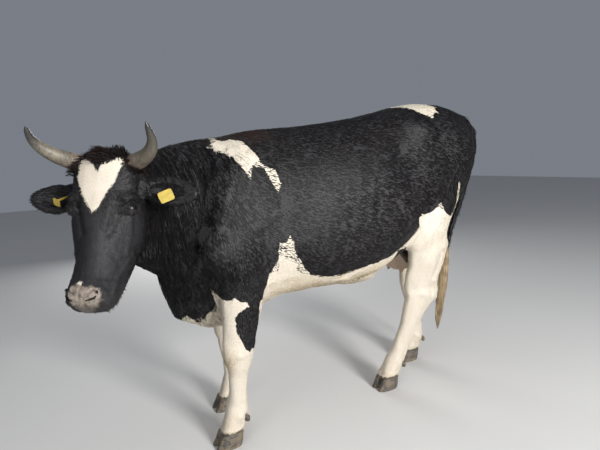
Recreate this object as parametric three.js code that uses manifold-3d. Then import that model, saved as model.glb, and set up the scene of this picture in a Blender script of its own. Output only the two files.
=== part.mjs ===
// A horned black-and-white cow at life size, standing with the head turned to its left.
//
// Millimetres, +Z up. The cow faces -X, its left side is -Y, and it stands on the plane Z = 0.
// All stations below are in the cow's own frame, whose X = 0 is over the fore feet. The last lines of
// the file move the finished animal so that its box is centred over the origin.
//
// The body is modelled whole, as lofts and balls that run into each other. Each sub-part is then
// freed from its neighbours by taking their slightly grown shapes away from it.

import * as THREE from "three";
import { mergeVertices } from "three/addons/utils/BufferGeometryUtils.js";
import Module from "manifold-3d";

const wasm = await Module();
wasm.setup();

// ---------------------------------------------------------------- driving dimensions

const GAP = 0.6; // clearance between two sub-parts that touch
const SMOOTHING = 0.25; // how far a face may move when slivers are merged, under half the gap
const WITHERS = 1288; // height of the top of the shoulders
const HIPS = 1398; // height of the croup, the highest point
const CHEST_FLOOR = 556; // height of the underline behind the elbows
const KNEE = 395; // height of the fore knee
const HOCK = 490; // height of the hock
const FETLOCK = 124; // height of the fetlock joints
const CORONET = 62; // height of the top edge of the claws
const BARREL = 322; // half width of the belly at its widest
const HEAD_LENGTH = 503; // poll to lips
const EYE_RADIUS = 20;
const HORN_LENGTH = 226; // along the curve, with the 40 mm of its core inside the head

const LEFT = -1;
const RIGHT = 1;

// ---------------------------------------------------------------- materials

const finish = (color, roughness) => new THREE.MeshStandardMaterial({ color, roughness, metalness: 0 });
const BLACK_COAT = finish(0x17161a, 0.55);
const WHITE_COAT = finish(0xd9d2c0, 0.75);
const NOSE_SKIN = finish(0x7a6a5f, 0.5);
const UDDER_SKIN = finish(0xd8b6a4, 0.65);
const HORN = finish(0x8f8672, 0.5);
const CLAW = finish(0x8a7a5e, 0.6);
const EYE = finish(0x140c08, 0.08);
const SWITCH_HAIR = finish(0xa98f62, 0.85);
const TAG_YELLOW = finish(0xe0b92c, 0.4);

// ---------------------------------------------------------------- shape helpers

const vector = (p) => new THREE.Vector3(...p);

/** Catmull-Rom value at position t of a list of numbers, where t = 1.5 is halfway from item 1 to 2. */
function between(values, t) {
  const i = Math.min(Math.floor(t), values.length - 2);
  const f = t - i;
  const [b, c] = [values[i], values[i + 1]];
  const a = values[i - 1] ?? 2 * b - c;
  const d = values[i + 2] ?? 2 * c - b;
  return 0.5 * (2 * b + (c - a) * f + (2 * a - 5 * b + 4 * c - d) * f * f + (3 * b - a - 3 * c + d) * f ** 3);
}

const power = (x, n) => Math.sign(x) * Math.abs(x) ** (2 / n);

/** A closed geometry from rings of points, with one point that closes each end. */
function closeRings(rings, first, last) {
  const around = rings[0].length;
  const points = [first, ...rings.flat(), last];
  const faces = [];
  const at = (ring, j) => 1 + ring * around + (j % around);
  for (let j = 0; j < around; j++) {
    faces.push(0, at(0, j + 1), at(0, j));
    faces.push(points.length - 1, at(rings.length - 1, j), at(rings.length - 1, j + 1));
    for (let k = 0; k < rings.length - 1; k++) {
      faces.push(at(k, j), at(k, j + 1), at(k + 1, j + 1));
      faces.push(at(k, j), at(k + 1, j + 1), at(k + 1, j));
    }
  }
  const geometry = new THREE.BufferGeometry().setFromPoints(points);
  geometry.setIndex(faces);
  return geometry;
}

/**
 * A closed solid through oval sections.
 *
 * A station is [x, y, z, half width, reach up, reach down, fullness up, fullness down]. The fullness
 * is the exponent of a superellipse: 2 is round, more is boxy, less is a ridge. Sections are square to
 * the line of centres, or to the fixed axis when one is given, and "up" is the direction nearest to up.
 * start and end are the lengths of the domes that close the ends, with 0 for a flat end.
 */
function loft(stations, { around, up, axis, start = 0, end = 0, grow = 0 }) {
  const read = (t) => stations[0].map((_, k) => between(stations.map((s) => s[k]), t));
  const last = stations.length - 1;
  const rings = [];
  const section = (t, scale, shift) => {
    const [x, y, z, wide, high, low, fullHigh, fullLow] = read(t);
    const near = Math.min(Math.max(t, 0.01), last - 0.01);
    const ahead = vector(read(near + 0.01)).sub(vector(read(near - 0.01)));
    const along = (axis ? vector(axis) : ahead).normalize();
    const side = new THREE.Vector3().crossVectors(along, vector(up)).normalize();
    const top = new THREE.Vector3().crossVectors(side, along);
    const centre = new THREE.Vector3(x, y, z).addScaledVector(along, shift);
    return Array.from({ length: around }, (_, j) => {
      const angle = (2 * Math.PI * j) / around;
      const [c, s] = [Math.cos(angle), Math.sin(angle)];
      const full = s >= 0 ? fullHigh : fullLow;
      const height = power(s, full);
      const width = power(c, full);
      return centre
        .clone()
        .addScaledVector(side, scale * (wide + grow) * width)
        .addScaledVector(top, scale * ((s >= 0 ? high : low) + grow) * height);
    });
  };
  const dome = [0.35, 0.7].map((a) => [Math.cos((a * Math.PI) / 2), Math.sin((a * Math.PI) / 2)]);
  if (start) dome.toReversed().forEach(([c, s]) => rings.push(section(0, c, -(start + grow) * s)));
  for (let i = 0; i <= last; i++) {
    const flatEnd = (i === 0 && !start ? -grow : 0) + (i === last && !end ? grow : 0);
    rings.push(section(i, 1, flatEnd));
  }
  if (end) dome.forEach(([c, s]) => rings.push(section(last, c, (end + grow) * s)));
  const middle = (t, shift) => {
    const ring = section(t, 0, shift);
    return ring[0];
  };
  return closeRings(rings, middle(0, -start - grow), middle(last, end + grow));
}

/** An ellipsoid of the given half sizes, turned by angles in degrees about X, Y and Z in that order. */
function ball({ at, size, turn = [0, 0, 0], detail = 12, grow = 0 }) {
  const radii = size.map((r) => r + grow);
  const turned = new THREE.Euler(...turn.map(THREE.MathUtils.degToRad), "ZYX");
  return new THREE.SphereGeometry(1, detail, Math.round(detail * 0.6))
    .scale(...radii)
    .applyMatrix4(new THREE.Matrix4().makeRotationFromEuler(turned))
    .translate(...at);
}

/** A geometry as a manifold solid, with its faces turned outwards. */
function solid(geometry) {
  const bare = geometry.index ? geometry.clone() : mergeVertices(geometry);
  bare.deleteAttribute("normal");
  bare.deleteAttribute("uv");
  const merged = mergeVertices(bare, 1e-3);
  const position = merged.attributes.position.array;
  const faces = new Uint32Array(merged.index.array);
  const corner = (i) => new THREE.Vector3().fromArray(position, 3 * faces[i]);
  let volume = 0;
  for (let i = 0; i < faces.length; i += 3) {
    volume += corner(i).dot(corner(i + 1).cross(corner(i + 2)));
  }
  if (volume < 0) {
    for (let i = 0; i < faces.length; i += 3) [faces[i], faces[i + 1]] = [faces[i + 1], faces[i]];
  }
  return new wasm.Manifold(new wasm.Mesh({ numProp: 3, vertProperties: position, triVerts: faces }));
}

const join = (...solids) => solids.reduce((a, b) => a.add(b));
const cut = (body, ...tools) => tools.reduce((a, b) => a.subtract(b), body);

/** The part of a solid on the side of a plane that its normal points to, less half the gap. */
function beyond(body, point, normal) {
  const big = 4000;
  const towards = new THREE.Quaternion().setFromUnitVectors(new THREE.Vector3(0, 0, 1), vector(normal).normalize());
  const block = new THREE.BoxGeometry(big, big, big)
    .translate(0, 0, big / 2 + GAP / 2)
    .applyQuaternion(towards)
    .translate(...point);
  return body.intersect(solid(block));
}

/** A manifold solid as a named mesh, without the slivers that cuts leave. */
function part(name, body, material) {
  const largest = body.decompose().reduce((a, b) => (a.volume() > b.volume() ? a : b));
  const { numProp, vertProperties, triVerts } = largest.asOriginal().simplify(SMOOTHING).getMesh();
  const points = [];
  for (let i = 0; i < vertProperties.length; i += numProp) {
    points.push(new THREE.Vector3().fromArray(vertProperties, i));
  }
  const geometry = new THREE.BufferGeometry().setFromPoints(points);
  geometry.setIndex([...triVerts]);
  geometry.computeVertexNormals();
  const mesh = new THREE.Mesh(geometry, material);
  mesh.name = name;
  return mesh;
}

/** A shape made at its true size and again a gap larger, to free its neighbours from it. */
const withSocket = (make) => ({ body: solid(make(0)), socket: solid(make(GAP)) });

// ---------------------------------------------------------------- trunk

/** Chest, barrel and hindquarters in one piece, in upright sections from the breast to the pin bones. */
function trunk(grow = 0) {
  // x, height of the top line, height of the underline, half width, height of the widest, fullness
  const sections = [
    [-202, 1040, 585, 120, 800, 2.0, 1.7],
    [-150, 1140, 496, 175, 820, 1.9, 1.6],
    [-60, 1215, 450, 215, 830, 1.8, 1.6],
    [30, WITHERS - 23, 452, 240, 840, 1.75, 1.65],
    [130, WITHERS, 500, 262, 840, 1.75, 1.85],
    [230, WITHERS + 6, CHEST_FLOOR - 4, 282, 845, 1.9, 2.1],
    [400, WITHERS + 14, CHEST_FLOOR + 4, 308, 850, 2.05, 2.2],
    [560, 1316, CHEST_FLOOR, BARREL - 1, 855, 2.1, 2.2],
    [700, 1334, CHEST_FLOOR + 14, BARREL, 870, 2.1, 2.2],
    [820, 1356, 616, BARREL - 10, 900, 2.15, 2.05],
    [940, 1382, 666, 286, 960, 2.25, 2.0],
    [1060, HIPS, 720, 262, 1010, 2.35, 2.0],
    [1180, HIPS - 2, 775, 240, 1050, 2.4, 2.0],
    [1290, 1376, 840, 192, 1080, 2.3, 2.0],
    [1385, 1342, 910, 122, 1110, 2.1, 2.0],
    [1448, 1292, 985, 66, 1130, 2.0, 2.0],
  ];
  const stations = sections.map(([x, top, floor, wide, widest, fullTop, fullFloor]) => [
    x, 0, widest, wide, top - widest, widest - floor, fullTop, fullFloor,
  ]);
  return loft(stations, { around: 22, up: [0, 0, 1], axis: [1, 0, 0], start: 50, end: 26, grow });
}

/** The fold of skin that hangs along the middle of the belly, at the navel. */
function navelFold() {
  return loft(
    [
      [500, 0, 578, 22, 18, 16, 1.9, 1.8],
      [570, 0, 574, 32, 30, 26, 1.9, 1.7],
      [635, 0, 574, 40, 36, 46, 1.9, 1.6],
      [700, 0, 578, 40, 40, 55, 1.9, 1.6],
      [765, 0, 590, 38, 44, 63, 1.9, 1.6],
      [826, 0, 604, 28, 38, 66, 1.9, 1.7],
    ],
    { around: 10, up: [0, 0, 1], axis: [1, 0, 0], start: 20, end: 10 },
  );
}

/** The neck with its crest and throat, bent to the left from the shoulders to the back of the skull. */
function neck(grow = 0) {
  return loft(
    [
      [70, 0, 985, 190, 285, 330, 1.7, 1.7],
      [-20, -3, 980, 184, 285, 335, 1.7, 1.65],
      [-110, -16, 975, 168, 280, 320, 1.7, 1.55],
      [-190, -40, 975, 152, 268, 285, 1.7, 1.5],
      [-245, -72, 985, 138, 250, 236, 1.7, 1.5],
      [-290, -106, 1000, 125, 230, 212, 1.7, 1.5],
      [-325, -142, 1020, 112, 202, 206, 1.75, 1.55],
      [-356, -182, 1044, 100, 170, 190, 1.8, 1.6],
      [-388, -228, 1072, 86, 138, 162, 1.9, 1.7],
    ],
    { around: 16, up: [0, 0, 1], start: 40, end: 20, grow },
  );
}

/** The loose fold of skin from the throat down to the brisket. */
function dewlap(grow = 0) {
  return loft(
    [
      [-300, -166, 836, 38, 84, 56, 1.8, 1.5],
      [-238, -118, 818, 44, 84, 46, 1.8, 1.6],
      [-182, -60, 754, 50, 96, 46, 1.8, 1.6],
      [-184, -30, 664, 58, 110, 62, 1.8, 1.6],
      [-150, -12, 590, 64, 96, 82, 1.9, 1.7],
      [-60, 0, 565, 60, 80, 92, 1.9, 1.8],
    ],
    { around: 10, up: [1, 0, 1], start: 30, end: 50, grow },
  );
}

// ---------------------------------------------------------------- shoulders and hips

/** Shoulder blade and upper arm of one side. */
function shoulder(side, grow = 0) {
  const blade = ball({ at: [42, side * 160, 1020], size: [128, 62, 222], turn: [side * 12, 25, 0], grow });
  const arm = ball({ at: [5, side * 203, 800], size: [168, 74, 110], turn: [0, 34, 0], grow });
  return join(solid(blade), solid(arm));
}

/** Hip bone, rump and thigh of one side, down to the stifle. */
function thigh(side, stifle, grow = 0) {
  const hip = ball({ at: [975, side * 178, 1228], size: [120, 70, 82], turn: [0, 18, 0], detail: 12, grow });
  const rump = ball({ at: [1146, side * 142, 1152], size: [220, 112, 182], turn: [0, 22, 0], grow });
  const ham = ball({ at: [stifle.x + 135, side * 160, 935], size: [152, 96, 250], turn: [0, 20, 0], grow });
  const front = ball({
    at: [stifle.x + 66, side * 204, stifle.z + 60],
    size: [122, 80, 175],
    turn: [0, 22, 0],
    grow,
  });
  return join(solid(hip), solid(rump), solid(ham), solid(front));
}

// ---------------------------------------------------------------- legs

/** Where one fore leg stands: how far forward and out its foot and knee are. */
const FORE_STANCE = {
  left: { side: LEFT, elbowX: 52, kneeX: 8, kneeY: 190, footX: -16, footY: 165 },
  right: { side: RIGHT, elbowX: 98, kneeX: 74, kneeY: 158, footX: 72, footY: 134 },
};

/** Where one hind leg stands, from the stifle to the foot. */
const HIND_STANCE = {
  left: { side: LEFT, stifle: { x: 935, z: 775 }, hockX: 985, hockY: 165, footX: 842, footY: 118 },
  right: { side: RIGHT, stifle: { x: 1112, z: 785 }, hockX: 1202, hockY: 130, footX: 1146, footY: 86 },
};

/** Fore leg from the elbow down past the coronet, where it is cut off level. */
function foreLeg({ side, elbowX, footX, footY, kneeX, kneeY }, grow = 0) {
  const out = side * kneeY;
  return loft(
    [
      [elbowX + 4, side * 196, 760, 56, 96, 96, 2, 2],
      [elbowX - 10, side * 202, 670, 60, 98, 98, 2, 2],
      [(elbowX + kneeX) / 2 + 8, side * (kneeY + 6), 600, 54, 95, 90, 2, 2],
      [kneeX + 21, side * (kneeY + 2), 520, 49, 84, 77, 2, 2],
      [kneeX + 9, out, KNEE + 58, 46, 74, 71, 2, 2],
      [kneeX, out, KNEE, 48, 63, 65, 2.3, 2.2],
      [kneeX - 3, side * (kneeY - 3), KNEE - 48, 42, 54, 58, 2.2, 2],
      [kneeX - 7, side * (kneeY - 8), KNEE - 96, 33, 40, 45, 2.2, 2],
      [(kneeX + footX) / 2 + 1, side * ((kneeY + footY) / 2), 235, 30, 36, 42, 2.2, 2],
      [footX + 6, side * footY, FETLOCK + 46, 35, 41, 51, 2.2, 2],
      [footX, side * footY, FETLOCK, 42, 47, 61, 2.3, 2],
      [footX - 12, side * footY, FETLOCK - 32, 42, 46, 58, 2.3, 2],
      [footX - 22, side * footY, CORONET, 47, 48, 50, 2.3, 2],
      [footX - 32, side * footY, CORONET - 30, 47, 48, 50, 2.3, 2],
    ],
    { around: 10, up: [-1, 0, 0], start: 30, grow },
  );
}

/** Hind leg from the stifle through gaskin and hock down past the coronet, where it is cut off level. */
function hindLeg({ side, stifle, hockX, hockY, footX, footY }, grow = 0) {
  const below = HOCK - 70; // where the straight shank begins
  const along = (z) => (z - FETLOCK) / (below - FETLOCK);
  const shank = (z) => [footX + along(z) * (hockX - 20 - footX), side * (footY + along(z) * (hockY - footY)), z];
  return loft(
    [
      [stifle.x + 98, side * 184, stifle.z + 40, 56, 118, 116, 2, 2],
      [stifle.x + 76, side * 192, stifle.z - 60, 64, 124, 122, 2, 2],
      [(stifle.x + hockX) / 2 + 45, side * (hockY + 22), HOCK + 120, 52, 114, 100, 2, 1.8],
      [hockX + 8, side * (hockY + 10), HOCK + 50, 47, 118, 92, 2, 1.7],
      [hockX + 3, side * hockY, HOCK - 8, 45, 112, 99, 2.2, 1.8],
      [...shank(below + 40), 44, 106, 106, 2.2, 2],
      [...shank(below + 12), 41, 96, 78, 2.2, 2],
      [...shank(below - 40), 38, 80, 62, 2.2, 2],
      [...shank(300), 32, 54, 56, 2.2, 2],
      [...shank(225), 31, 46, 50, 2.2, 2],
      [...shank(FETLOCK + 46), 35, 46, 52, 2.2, 2],
      [footX, side * footY, FETLOCK, 42, 50, 56, 2.3, 2],
      [footX - 20, side * footY, FETLOCK - 32, 41, 49, 54, 2.3, 2],
      [footX - 40, side * footY, CORONET, 47, 50, 52, 2.3, 2],
      [footX - 58, side * footY, CORONET - 30, 47, 50, 52, 2.3, 2],
    ],
    { around: 10, up: [-1, 0, 0], start: 40, grow },
  );
}

/** The two claws of a foot, with the cleft between them, standing flat on the floor. */
function claws(name, x, y, side) {
  const [top, sole] = [CORONET - GAP, 0];
  return [LEFT, RIGHT].map((which) => {
    const place = which === side ? "outer" : "inner";
    const out = which * 24.5;
    const shape = loft(
      [
        [x - 2, y + out, top, 22.5, 45, 47, 2.4, 2.2],
        [x - 9, y + out, (top + sole) / 2, 24, 53, 49, 2.3, 2.2],
        [x - 18, y + out * 1.03, sole, 25, 62, 50, 2.1, 2.2],
      ],
      { around: 10, up: [-1, 0, 0], axis: [0, 0, -1] },
    );
    return part(`claw_${name}_${place}`, solid(shape), CLAW);
  });
}

/** A dewclaw behind the fetlock, pointing down and back. */
function dewclaw(x, y, which, grow = 0) {
  const out = which * 21;
  return loft(
    [
      [x + 32, y + out, FETLOCK - 6, 11, 11, 11, 2, 2],
      [x + 43, y + out * 1.08, FETLOCK - 19, 13, 13, 13, 2, 2],
      [x + 44, y + out * 1.12, FETLOCK - 31, 11, 10, 10, 2, 2],
    ],
    { around: 6, up: [1, 0, 1], start: 4, end: 5, grow },
  );
}

// ---------------------------------------------------------------- tail and udder

const TAIL_LINE = [
  [1330, 0, 1332],
  [1428, 0, 1304],
  [1492, 0, 1246],
  [1504, 0, 1160],
  [1474, 1, 1035],
  [1420, 3, 880],
  [1352, 7, 730],
  [1318, 10, 620],
];

function tail(grow = 0) {
  const thick = [38, 36, 32, 27, 22, 18, 16, 15];
  const stations = TAIL_LINE.map((p, i) => [...p, thick[i] * 1.1, thick[i], thick[i], 2, 2]);
  return loft(stations, { around: 8, up: [1, 0, 0.3], start: 20, end: 8, grow });
}

/** The lock of long hair at the end of the tail. */
function tailSwitch() {
  const [x, y, z] = TAIL_LINE.at(-1);
  return loft(
    [
      [x - 1, y + 1, z - 12, 17, 17, 17, 2, 2],
      [x - 4, y + 4, z - 90, 25, 25, 25, 2, 2],
      [x - 16, y + 10, z - 190, 28, 28, 28, 2, 2],
      [x - 30, y + 16, z - 300, 26, 26, 26, 2, 2],
      [x - 42, y + 22, z - 400, 19, 19, 19, 2, 2],
      [x - 46, y + 25, z - 470, 9, 9, 9, 2, 2],
    ],
    { around: 8, up: [1, 0, 0], start: 3, end: 14 },
  );
}

const UDDER = { x: 1003, z: 652, length: 128, width: 104, depth: 106 };

function udder(grow = 0) {
  const { x, z, length, width, depth } = UDDER;
  return ball({ at: [x, 0, z], size: [length, width, depth], turn: [0, -8, 0], grow });
}

function teats() {
  const { x, z, length, width, depth } = UDDER;
  return [LEFT, RIGHT].flatMap((side) =>
    [-0.4, 0.36].map((where) => {
      const [tx, ty] = [x + where * length, side * width * 0.48];
      const tz = z - depth * (0.72 + 0.1 * where);
      return solid(
        loft(
          [
            [tx, ty, tz + 14, 15, 15, 15, 2, 2],
            [tx - 2, ty * 1.05, tz - 12, 12, 12, 12, 2, 2],
            [tx - 4, ty * 1.08, tz - 36, 10, 10, 10, 2, 2],
          ],
          { around: 6, up: [1, 0, 0], end: 8 },
        ),
      );
    }),
  );
}

// ---------------------------------------------------------------- head

// The head's own frame: X runs out of the face, Y to the cow's left, Z from the muzzle up to the poll.
const POLL = new THREE.Vector3(-436, -290, 1213);
const FACE = new THREE.Vector3(-0.44, -0.823, 0.359).normalize();
const HEAD_UP = new THREE.Vector3(0.211, 0.292, 0.93);
const HEAD_LEFT = new THREE.Vector3().crossVectors(HEAD_UP, FACE).normalize();
const HEAD_FRAME = new THREE.Matrix4()
  .makeBasis(FACE, HEAD_LEFT, new THREE.Vector3().crossVectors(FACE, HEAD_LEFT))
  .setPosition(POLL);

const onHead = (geometry) => geometry.applyMatrix4(HEAD_FRAME);

/** Skull, cheeks, muzzle and jaw in one piece, in sections from the poll down to the lips. */
function skull(grow = 0) {
  // distance below the poll, front of the face, back of the jaw, half width, fullness front and back
  const sections = [
    [-8, -22, -108, 70, 2.2, 2.0],
    [25, -4, -142, 110, 2.4, 2.2],
    [70, 2, -175, 112, 2.6, 2.2],
    [120, 3, -205, 114, 2.6, 2.2],
    [165, 3, -228, 116, 2.4, 2.2],
    [205, 2, -242, 118, 1.95, 2.1],
    [250, 1, -248, 115, 1.7, 2.1],
    [297, 0, -244, 99, 1.75, 2.2],
    [345, 1, -226, 87, 1.9, 2.3],
    [390, 6, -197, 80, 2.1, 2.3],
    [425, 16, -166, 77, 2.3, 2.2],
    [450, 22, -138, 77, 2.4, 2.1],
    [475, 16, -110, 71, 2.4, 2.0],
    [HEAD_LENGTH - 12, -4, -84, 56, 2.3, 2.0],
  ];
  const stations = sections.map(([down, front, back, wide, fullFront, fullBack]) => [
    (front + back) / 2, 0, -down, wide, (front - back) / 2, (front - back) / 2, fullFront, fullBack,
  ]);
  const shape = loft(stations, { around: 20, up: [1, 0, 0], axis: [0, 0, -1], start: 22, end: 12, grow });
  return onHead(shape);
}

/** The bony rims above and behind the eyes. */
function brow(side, grow = 0) {
  return onHead(ball({ at: [-46, side * 86, -152], size: [40, 26, 36], turn: [side * -14, 0, 0], detail: 10, grow }));
}

const EYE_PLACE = { out: 92, back: 50, down: 174 };

function eye(side, grow = 0) {
  const r = EYE_RADIUS + grow;
  const { out, back, down } = EYE_PLACE;
  return onHead(ball({ at: [-back, side * out, -down], size: [r, r, r], detail: 12 }));
}

/** A horn that leaves the side of the poll, sweeps out and forward, and turns up at its tip. */
function horn(side, grow = 0) {
  const root = 29; // radius where it leaves the skin
  const tip = side * 10 - 3; // the left tip stands higher than the right one
  const line = new THREE.CatmullRomCurve3([
    new THREE.Vector3(-56, side * 84, -18),
    new THREE.Vector3(-34, side * 117, -14),
    new THREE.Vector3(6, side * 158, -7),
    new THREE.Vector3(50, side * 185, 15 + tip * 0.5),
    new THREE.Vector3(84, side * 187, 34 + tip * 0.8),
    new THREE.Vector3(112, side * 183, 55 + tip),
  ]);
  const scale = HORN_LENGTH / line.getLength();
  const count = 8;
  const stations = Array.from({ length: count }, (_, i) => {
    const t = i / (count - 1);
    const r = root * (1 - 0.82 * t ** 1.6);
    const at = line.getPointAt(t).sub(line.points[0]).multiplyScalar(scale).add(line.points[0]);
    return [...at, r, r, r, 2, 2];
  });
  const shape = loft(stations, { around: 9, up: [1, 0, 0.2], start: 6, end: 8, grow });
  return onHead(shape);
}

/** How each ear is held: how far its middle hangs below the left one, its length, and its tag's place and size. */
const EAR = {
  left: { own: 1, droop: 0, reach: 1, tag: { out: 196, down: 122, front: -82, turn: [24, 20, 8], share: 1 } },
  right: { own: -1, droop: 28, reach: 0.92, tag: { out: 168, down: 143, front: -80, turn: [-5, 40, -25], share: 0.66 } },
};

/** An ear held out sideways: a stalk that opens into a leaf. */
function ear({ own, droop, reach }, grow = 0) {
  const out = (far) => own * (86 + (far - 86) * reach);
  const leaf = loft(
    [
      [-92, out(86), -84 - droop * 0.1, 28, 24, 24, 2, 2],
      [-104, out(118), -86 - droop * 0.5, 34, 24, 24, 2, 2],
      [-112, out(150), -92 - droop * 0.9, 48, 20, 21, 2, 2],
      [-116, out(190), -95 - droop, 56, 15, 17, 2, 2],
      [-116, out(230), -100 - droop * 0.8, 51, 12, 14, 2, 2],
      [-114, out(262), -104 - droop * 0.6, 39, 9, 11, 2, 2],
      [-112, out(284), -106 - droop * 0.5, 24, 7, 8, 2, 2],
    ],
    { around: 10, up: [1, 0, 0], start: 8, end: 10, grow },
  );
  return onHead(leaf);
}

/** The cup of the ear, which is taken out of its front. */
function earHollow({ own, droop }) {
  const at = [-80, own * 202, -98 - droop];
  return onHead(ball({ at, size: [42, 72, 38], turn: [0, 0, own * -4], detail: 10 }));
}

const AXIS = {
  x: new THREE.Vector3(1, 0, 0),
  y: new THREE.Vector3(0, 1, 0),
  z: new THREE.Vector3(0, 0, 1),
};

/** A plate ear tag with rounded corners, and the stud that passes through the ear. */
function earTag({ own, tag }) {
  const [width, height, corner] = [48, 38, 7].map((size) => size * tag.share);
  const thick = 2.4;
  const [w, h] = [width / 2, height / 2];
  const outline = new THREE.Shape();
  [[w, -h, -90], [w, h, 0], [-w, h, 90], [-w, -h, 180]].forEach(([x, y, from]) => {
    const start = THREE.MathUtils.degToRad(from);
    const [cx, cy] = [x - Math.sign(x) * corner, y - Math.sign(y) * corner];
    outline.absarc(cx, cy, corner, start, start + Math.PI / 2);
  });
  const plate = new THREE.ExtrudeGeometry(outline, { depth: thick, bevelEnabled: false, curveSegments: 2 });
  const stud = (r, long) =>
    new THREE.CylinderGeometry(r, r, long, 8).rotateX(Math.PI / 2).translate(0, h * 0.4, -long / 2 + thick / 2);
  // The plate's own Z is the way it faces, which is out of the front of the ear.
  const place = new THREE.Matrix4()
    .makeRotationFromEuler(new THREE.Euler(...tag.turn.map(THREE.MathUtils.degToRad)))
    .multiply(new THREE.Matrix4().makeBasis(AXIS.y, AXIS.z, AXIS.x))
    .setPosition(tag.front, own * tag.out, -tag.down);
  const onEar = (geometry) => solid(onHead(geometry.applyMatrix4(place)));
  return { body: join(onEar(plate), onEar(stud(4, 44))), socket: onEar(stud(4 + GAP, 60)) };
}

// ---------------------------------------------------------------- putting the cow together

const sides = { left: LEFT, right: RIGHT };
const parts = [];

/** The pieces of one side of the head, and the sockets that they leave in it. */
const headPieces = Object.entries(EAR).map(([name, hold]) => {
  const tag = earTag(hold);
  const earShape = withSocket((grow) => ear(hold, grow));
  const hollowed = cut(earShape.body, solid(earHollow(hold)), tag.socket, tag.body);
  const eyeShape = withSocket((grow) => eye(hold.own, grow));
  const hornShape = withSocket((grow) => horn(hold.own, grow));
  parts.push(part(`horn_${name}`, hornShape.body, HORN));
  parts.push(part(`eye_${name}`, eyeShape.body, EYE));
  parts.push(part(`ear_${name}`, hollowed, BLACK_COAT));
  parts.push(part(`ear_tag_${name}`, tag.body, TAG_YELLOW));
  return { sockets: [eyeShape.socket, hornShape.socket, earShape.socket], brow: (grow) => brow(hold.own, grow) };
});

const wholeHead = withSocket((grow) => skull(grow));
const browed = join(wholeHead.body, ...headPieces.map((p) => solid(p.brow(0))));
const bareHead = cut(browed, ...headPieces.flatMap((p) => p.sockets));

/** A point or a direction of the head's own frame, in the cow's. */
const headPoint = (x, y, z) => new THREE.Vector3(x, y, z).applyMatrix4(HEAD_FRAME).toArray();
const headWay = (x, y, z) => new THREE.Vector3(x, y, z).transformDirection(HEAD_FRAME).toArray();
const muzzleTop = headPoint(0, 0, -405);
const mouth = headPoint(-62, 0, -478);
const upper = beyond(bareHead, mouth, headWay(0.83, 0, 0.56));
const under = beyond(bareHead, mouth, headWay(-0.83, 0, -0.56));
parts.push(part("muzzle", beyond(upper, muzzleTop, headWay(0, 0, -1)), NOSE_SKIN));
parts.push(part("head", beyond(upper, muzzleTop, headWay(0, 0, 1)), BLACK_COAT));
parts.push(part("lower_jaw", under, BLACK_COAT));

const limbSockets = Object.entries(sides).flatMap(([name, side]) => {
  const limbs = [
    { leg: `fore_${name}`, stance: FORE_STANCE[name], make: foreLeg, jointHeight: KNEE - 50, lean: 22 },
    { leg: `hind_${name}`, stance: HIND_STANCE[name], make: hindLeg, jointHeight: HOCK - 70, lean: 40 },
  ];
  return limbs.map(({ leg, stance, make, jointHeight, lean }) => {
    const [footX, footY] = [stance.footX, side * stance.footY];
    const shape = withSocket((grow) => make(stance, grow));
    const dewclaws = [LEFT, RIGHT].map((which) => withSocket((grow) => dewclaw(footX, footY, which, grow)));
    const whole = beyond(shape.body, [0, 0, CORONET], [0, 0, 1]);
    const bare = cut(whole, ...dewclaws.map((d) => d.socket));
    const level = [0, 0, jointHeight];
    parts.push(part(`${leg}_leg`, beyond(bare, level, [0, 0, 1]), WHITE_COAT));
    parts.push(part(`${leg}_shank`, beyond(bare, level, [0, 0, -1]), WHITE_COAT));
    dewclaws.forEach((d, i) => parts.push(part(`dewclaw_${leg}_${i + 1}`, d.body, CLAW)));
    parts.push(...claws(leg, footX - lean, footY, side));
    return shape.socket;
  });
});

const tailShape = withSocket((grow) => tail(grow));
parts.push(part("tail", tailShape.body, BLACK_COAT));
parts.push(part("tail_switch", solid(tailSwitch()), SWITCH_HAIR));

const headSockets = [wholeHead.socket, ...headPieces.flatMap((p) => [solid(p.brow(GAP)), ...p.sockets])];
const neckBody = join(solid(neck()), solid(dewlap()));
const neckSocket = join(solid(neck(GAP)), solid(dewlap(GAP)));
const shoulders = join(shoulder(LEFT), shoulder(RIGHT));
const shoulderSocket = join(shoulder(LEFT, GAP), shoulder(RIGHT, GAP));
parts.push(part("neck", cut(neckBody, ...headSockets, shoulderSocket, ...limbSockets), BLACK_COAT));

const thighs = join(...Object.values(HIND_STANCE).map(({ side, stifle }) => thigh(side, stifle)));
const bareTrunk = cut(solid(trunk()), cut(neckSocket, shoulders));
const trunkBody = join(bareTrunk, shoulders, thighs, solid(navelFold()));
const freeTrunk = cut(trunkBody, tailShape.socket, ...limbSockets);
const CHEST_END = 330;
const BARREL_END = 850;
const behindChest = beyond(freeTrunk, [CHEST_END, 0, 0], [1, 0, 0]);
parts.push(part("chest", beyond(freeTrunk, [CHEST_END, 0, 0], [-1, 0, 0]), BLACK_COAT));
parts.push(part("barrel", beyond(behindChest, [BARREL_END, 0, 0], [-1, 0, 0]), BLACK_COAT));
parts.push(part("hindquarters", beyond(behindChest, [BARREL_END, 0, 0], [1, 0, 0]), BLACK_COAT));

const flesh = join(solid(trunk(GAP)), ...Object.values(HIND_STANCE).map((s) => thigh(s.side, s.stifle, GAP)));
parts.push(part("udder", cut(join(solid(udder()), ...teats()), flesh, ...limbSockets), UDDER_SKIN));

const cow = new THREE.Group();
cow.add(...parts);

const box = new THREE.Box3().setFromObject(cow);
const middle = box.getCenter(new THREE.Vector3());
cow.position.set(-middle.x, -middle.y, -box.min.z);

export default cow;
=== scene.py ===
"""A horned black-and-white cow at life size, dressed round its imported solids.

Metres, +Z up. The cow faces -X and its left side is -Y. Places are written in the cow's own frame, whose
X = 0 is over the fore feet, or in the head's own frame, and `Stance` moves both into the row frame.
"""

import logging
import math
from dataclasses import dataclass, field
from enum import IntEnum

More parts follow.
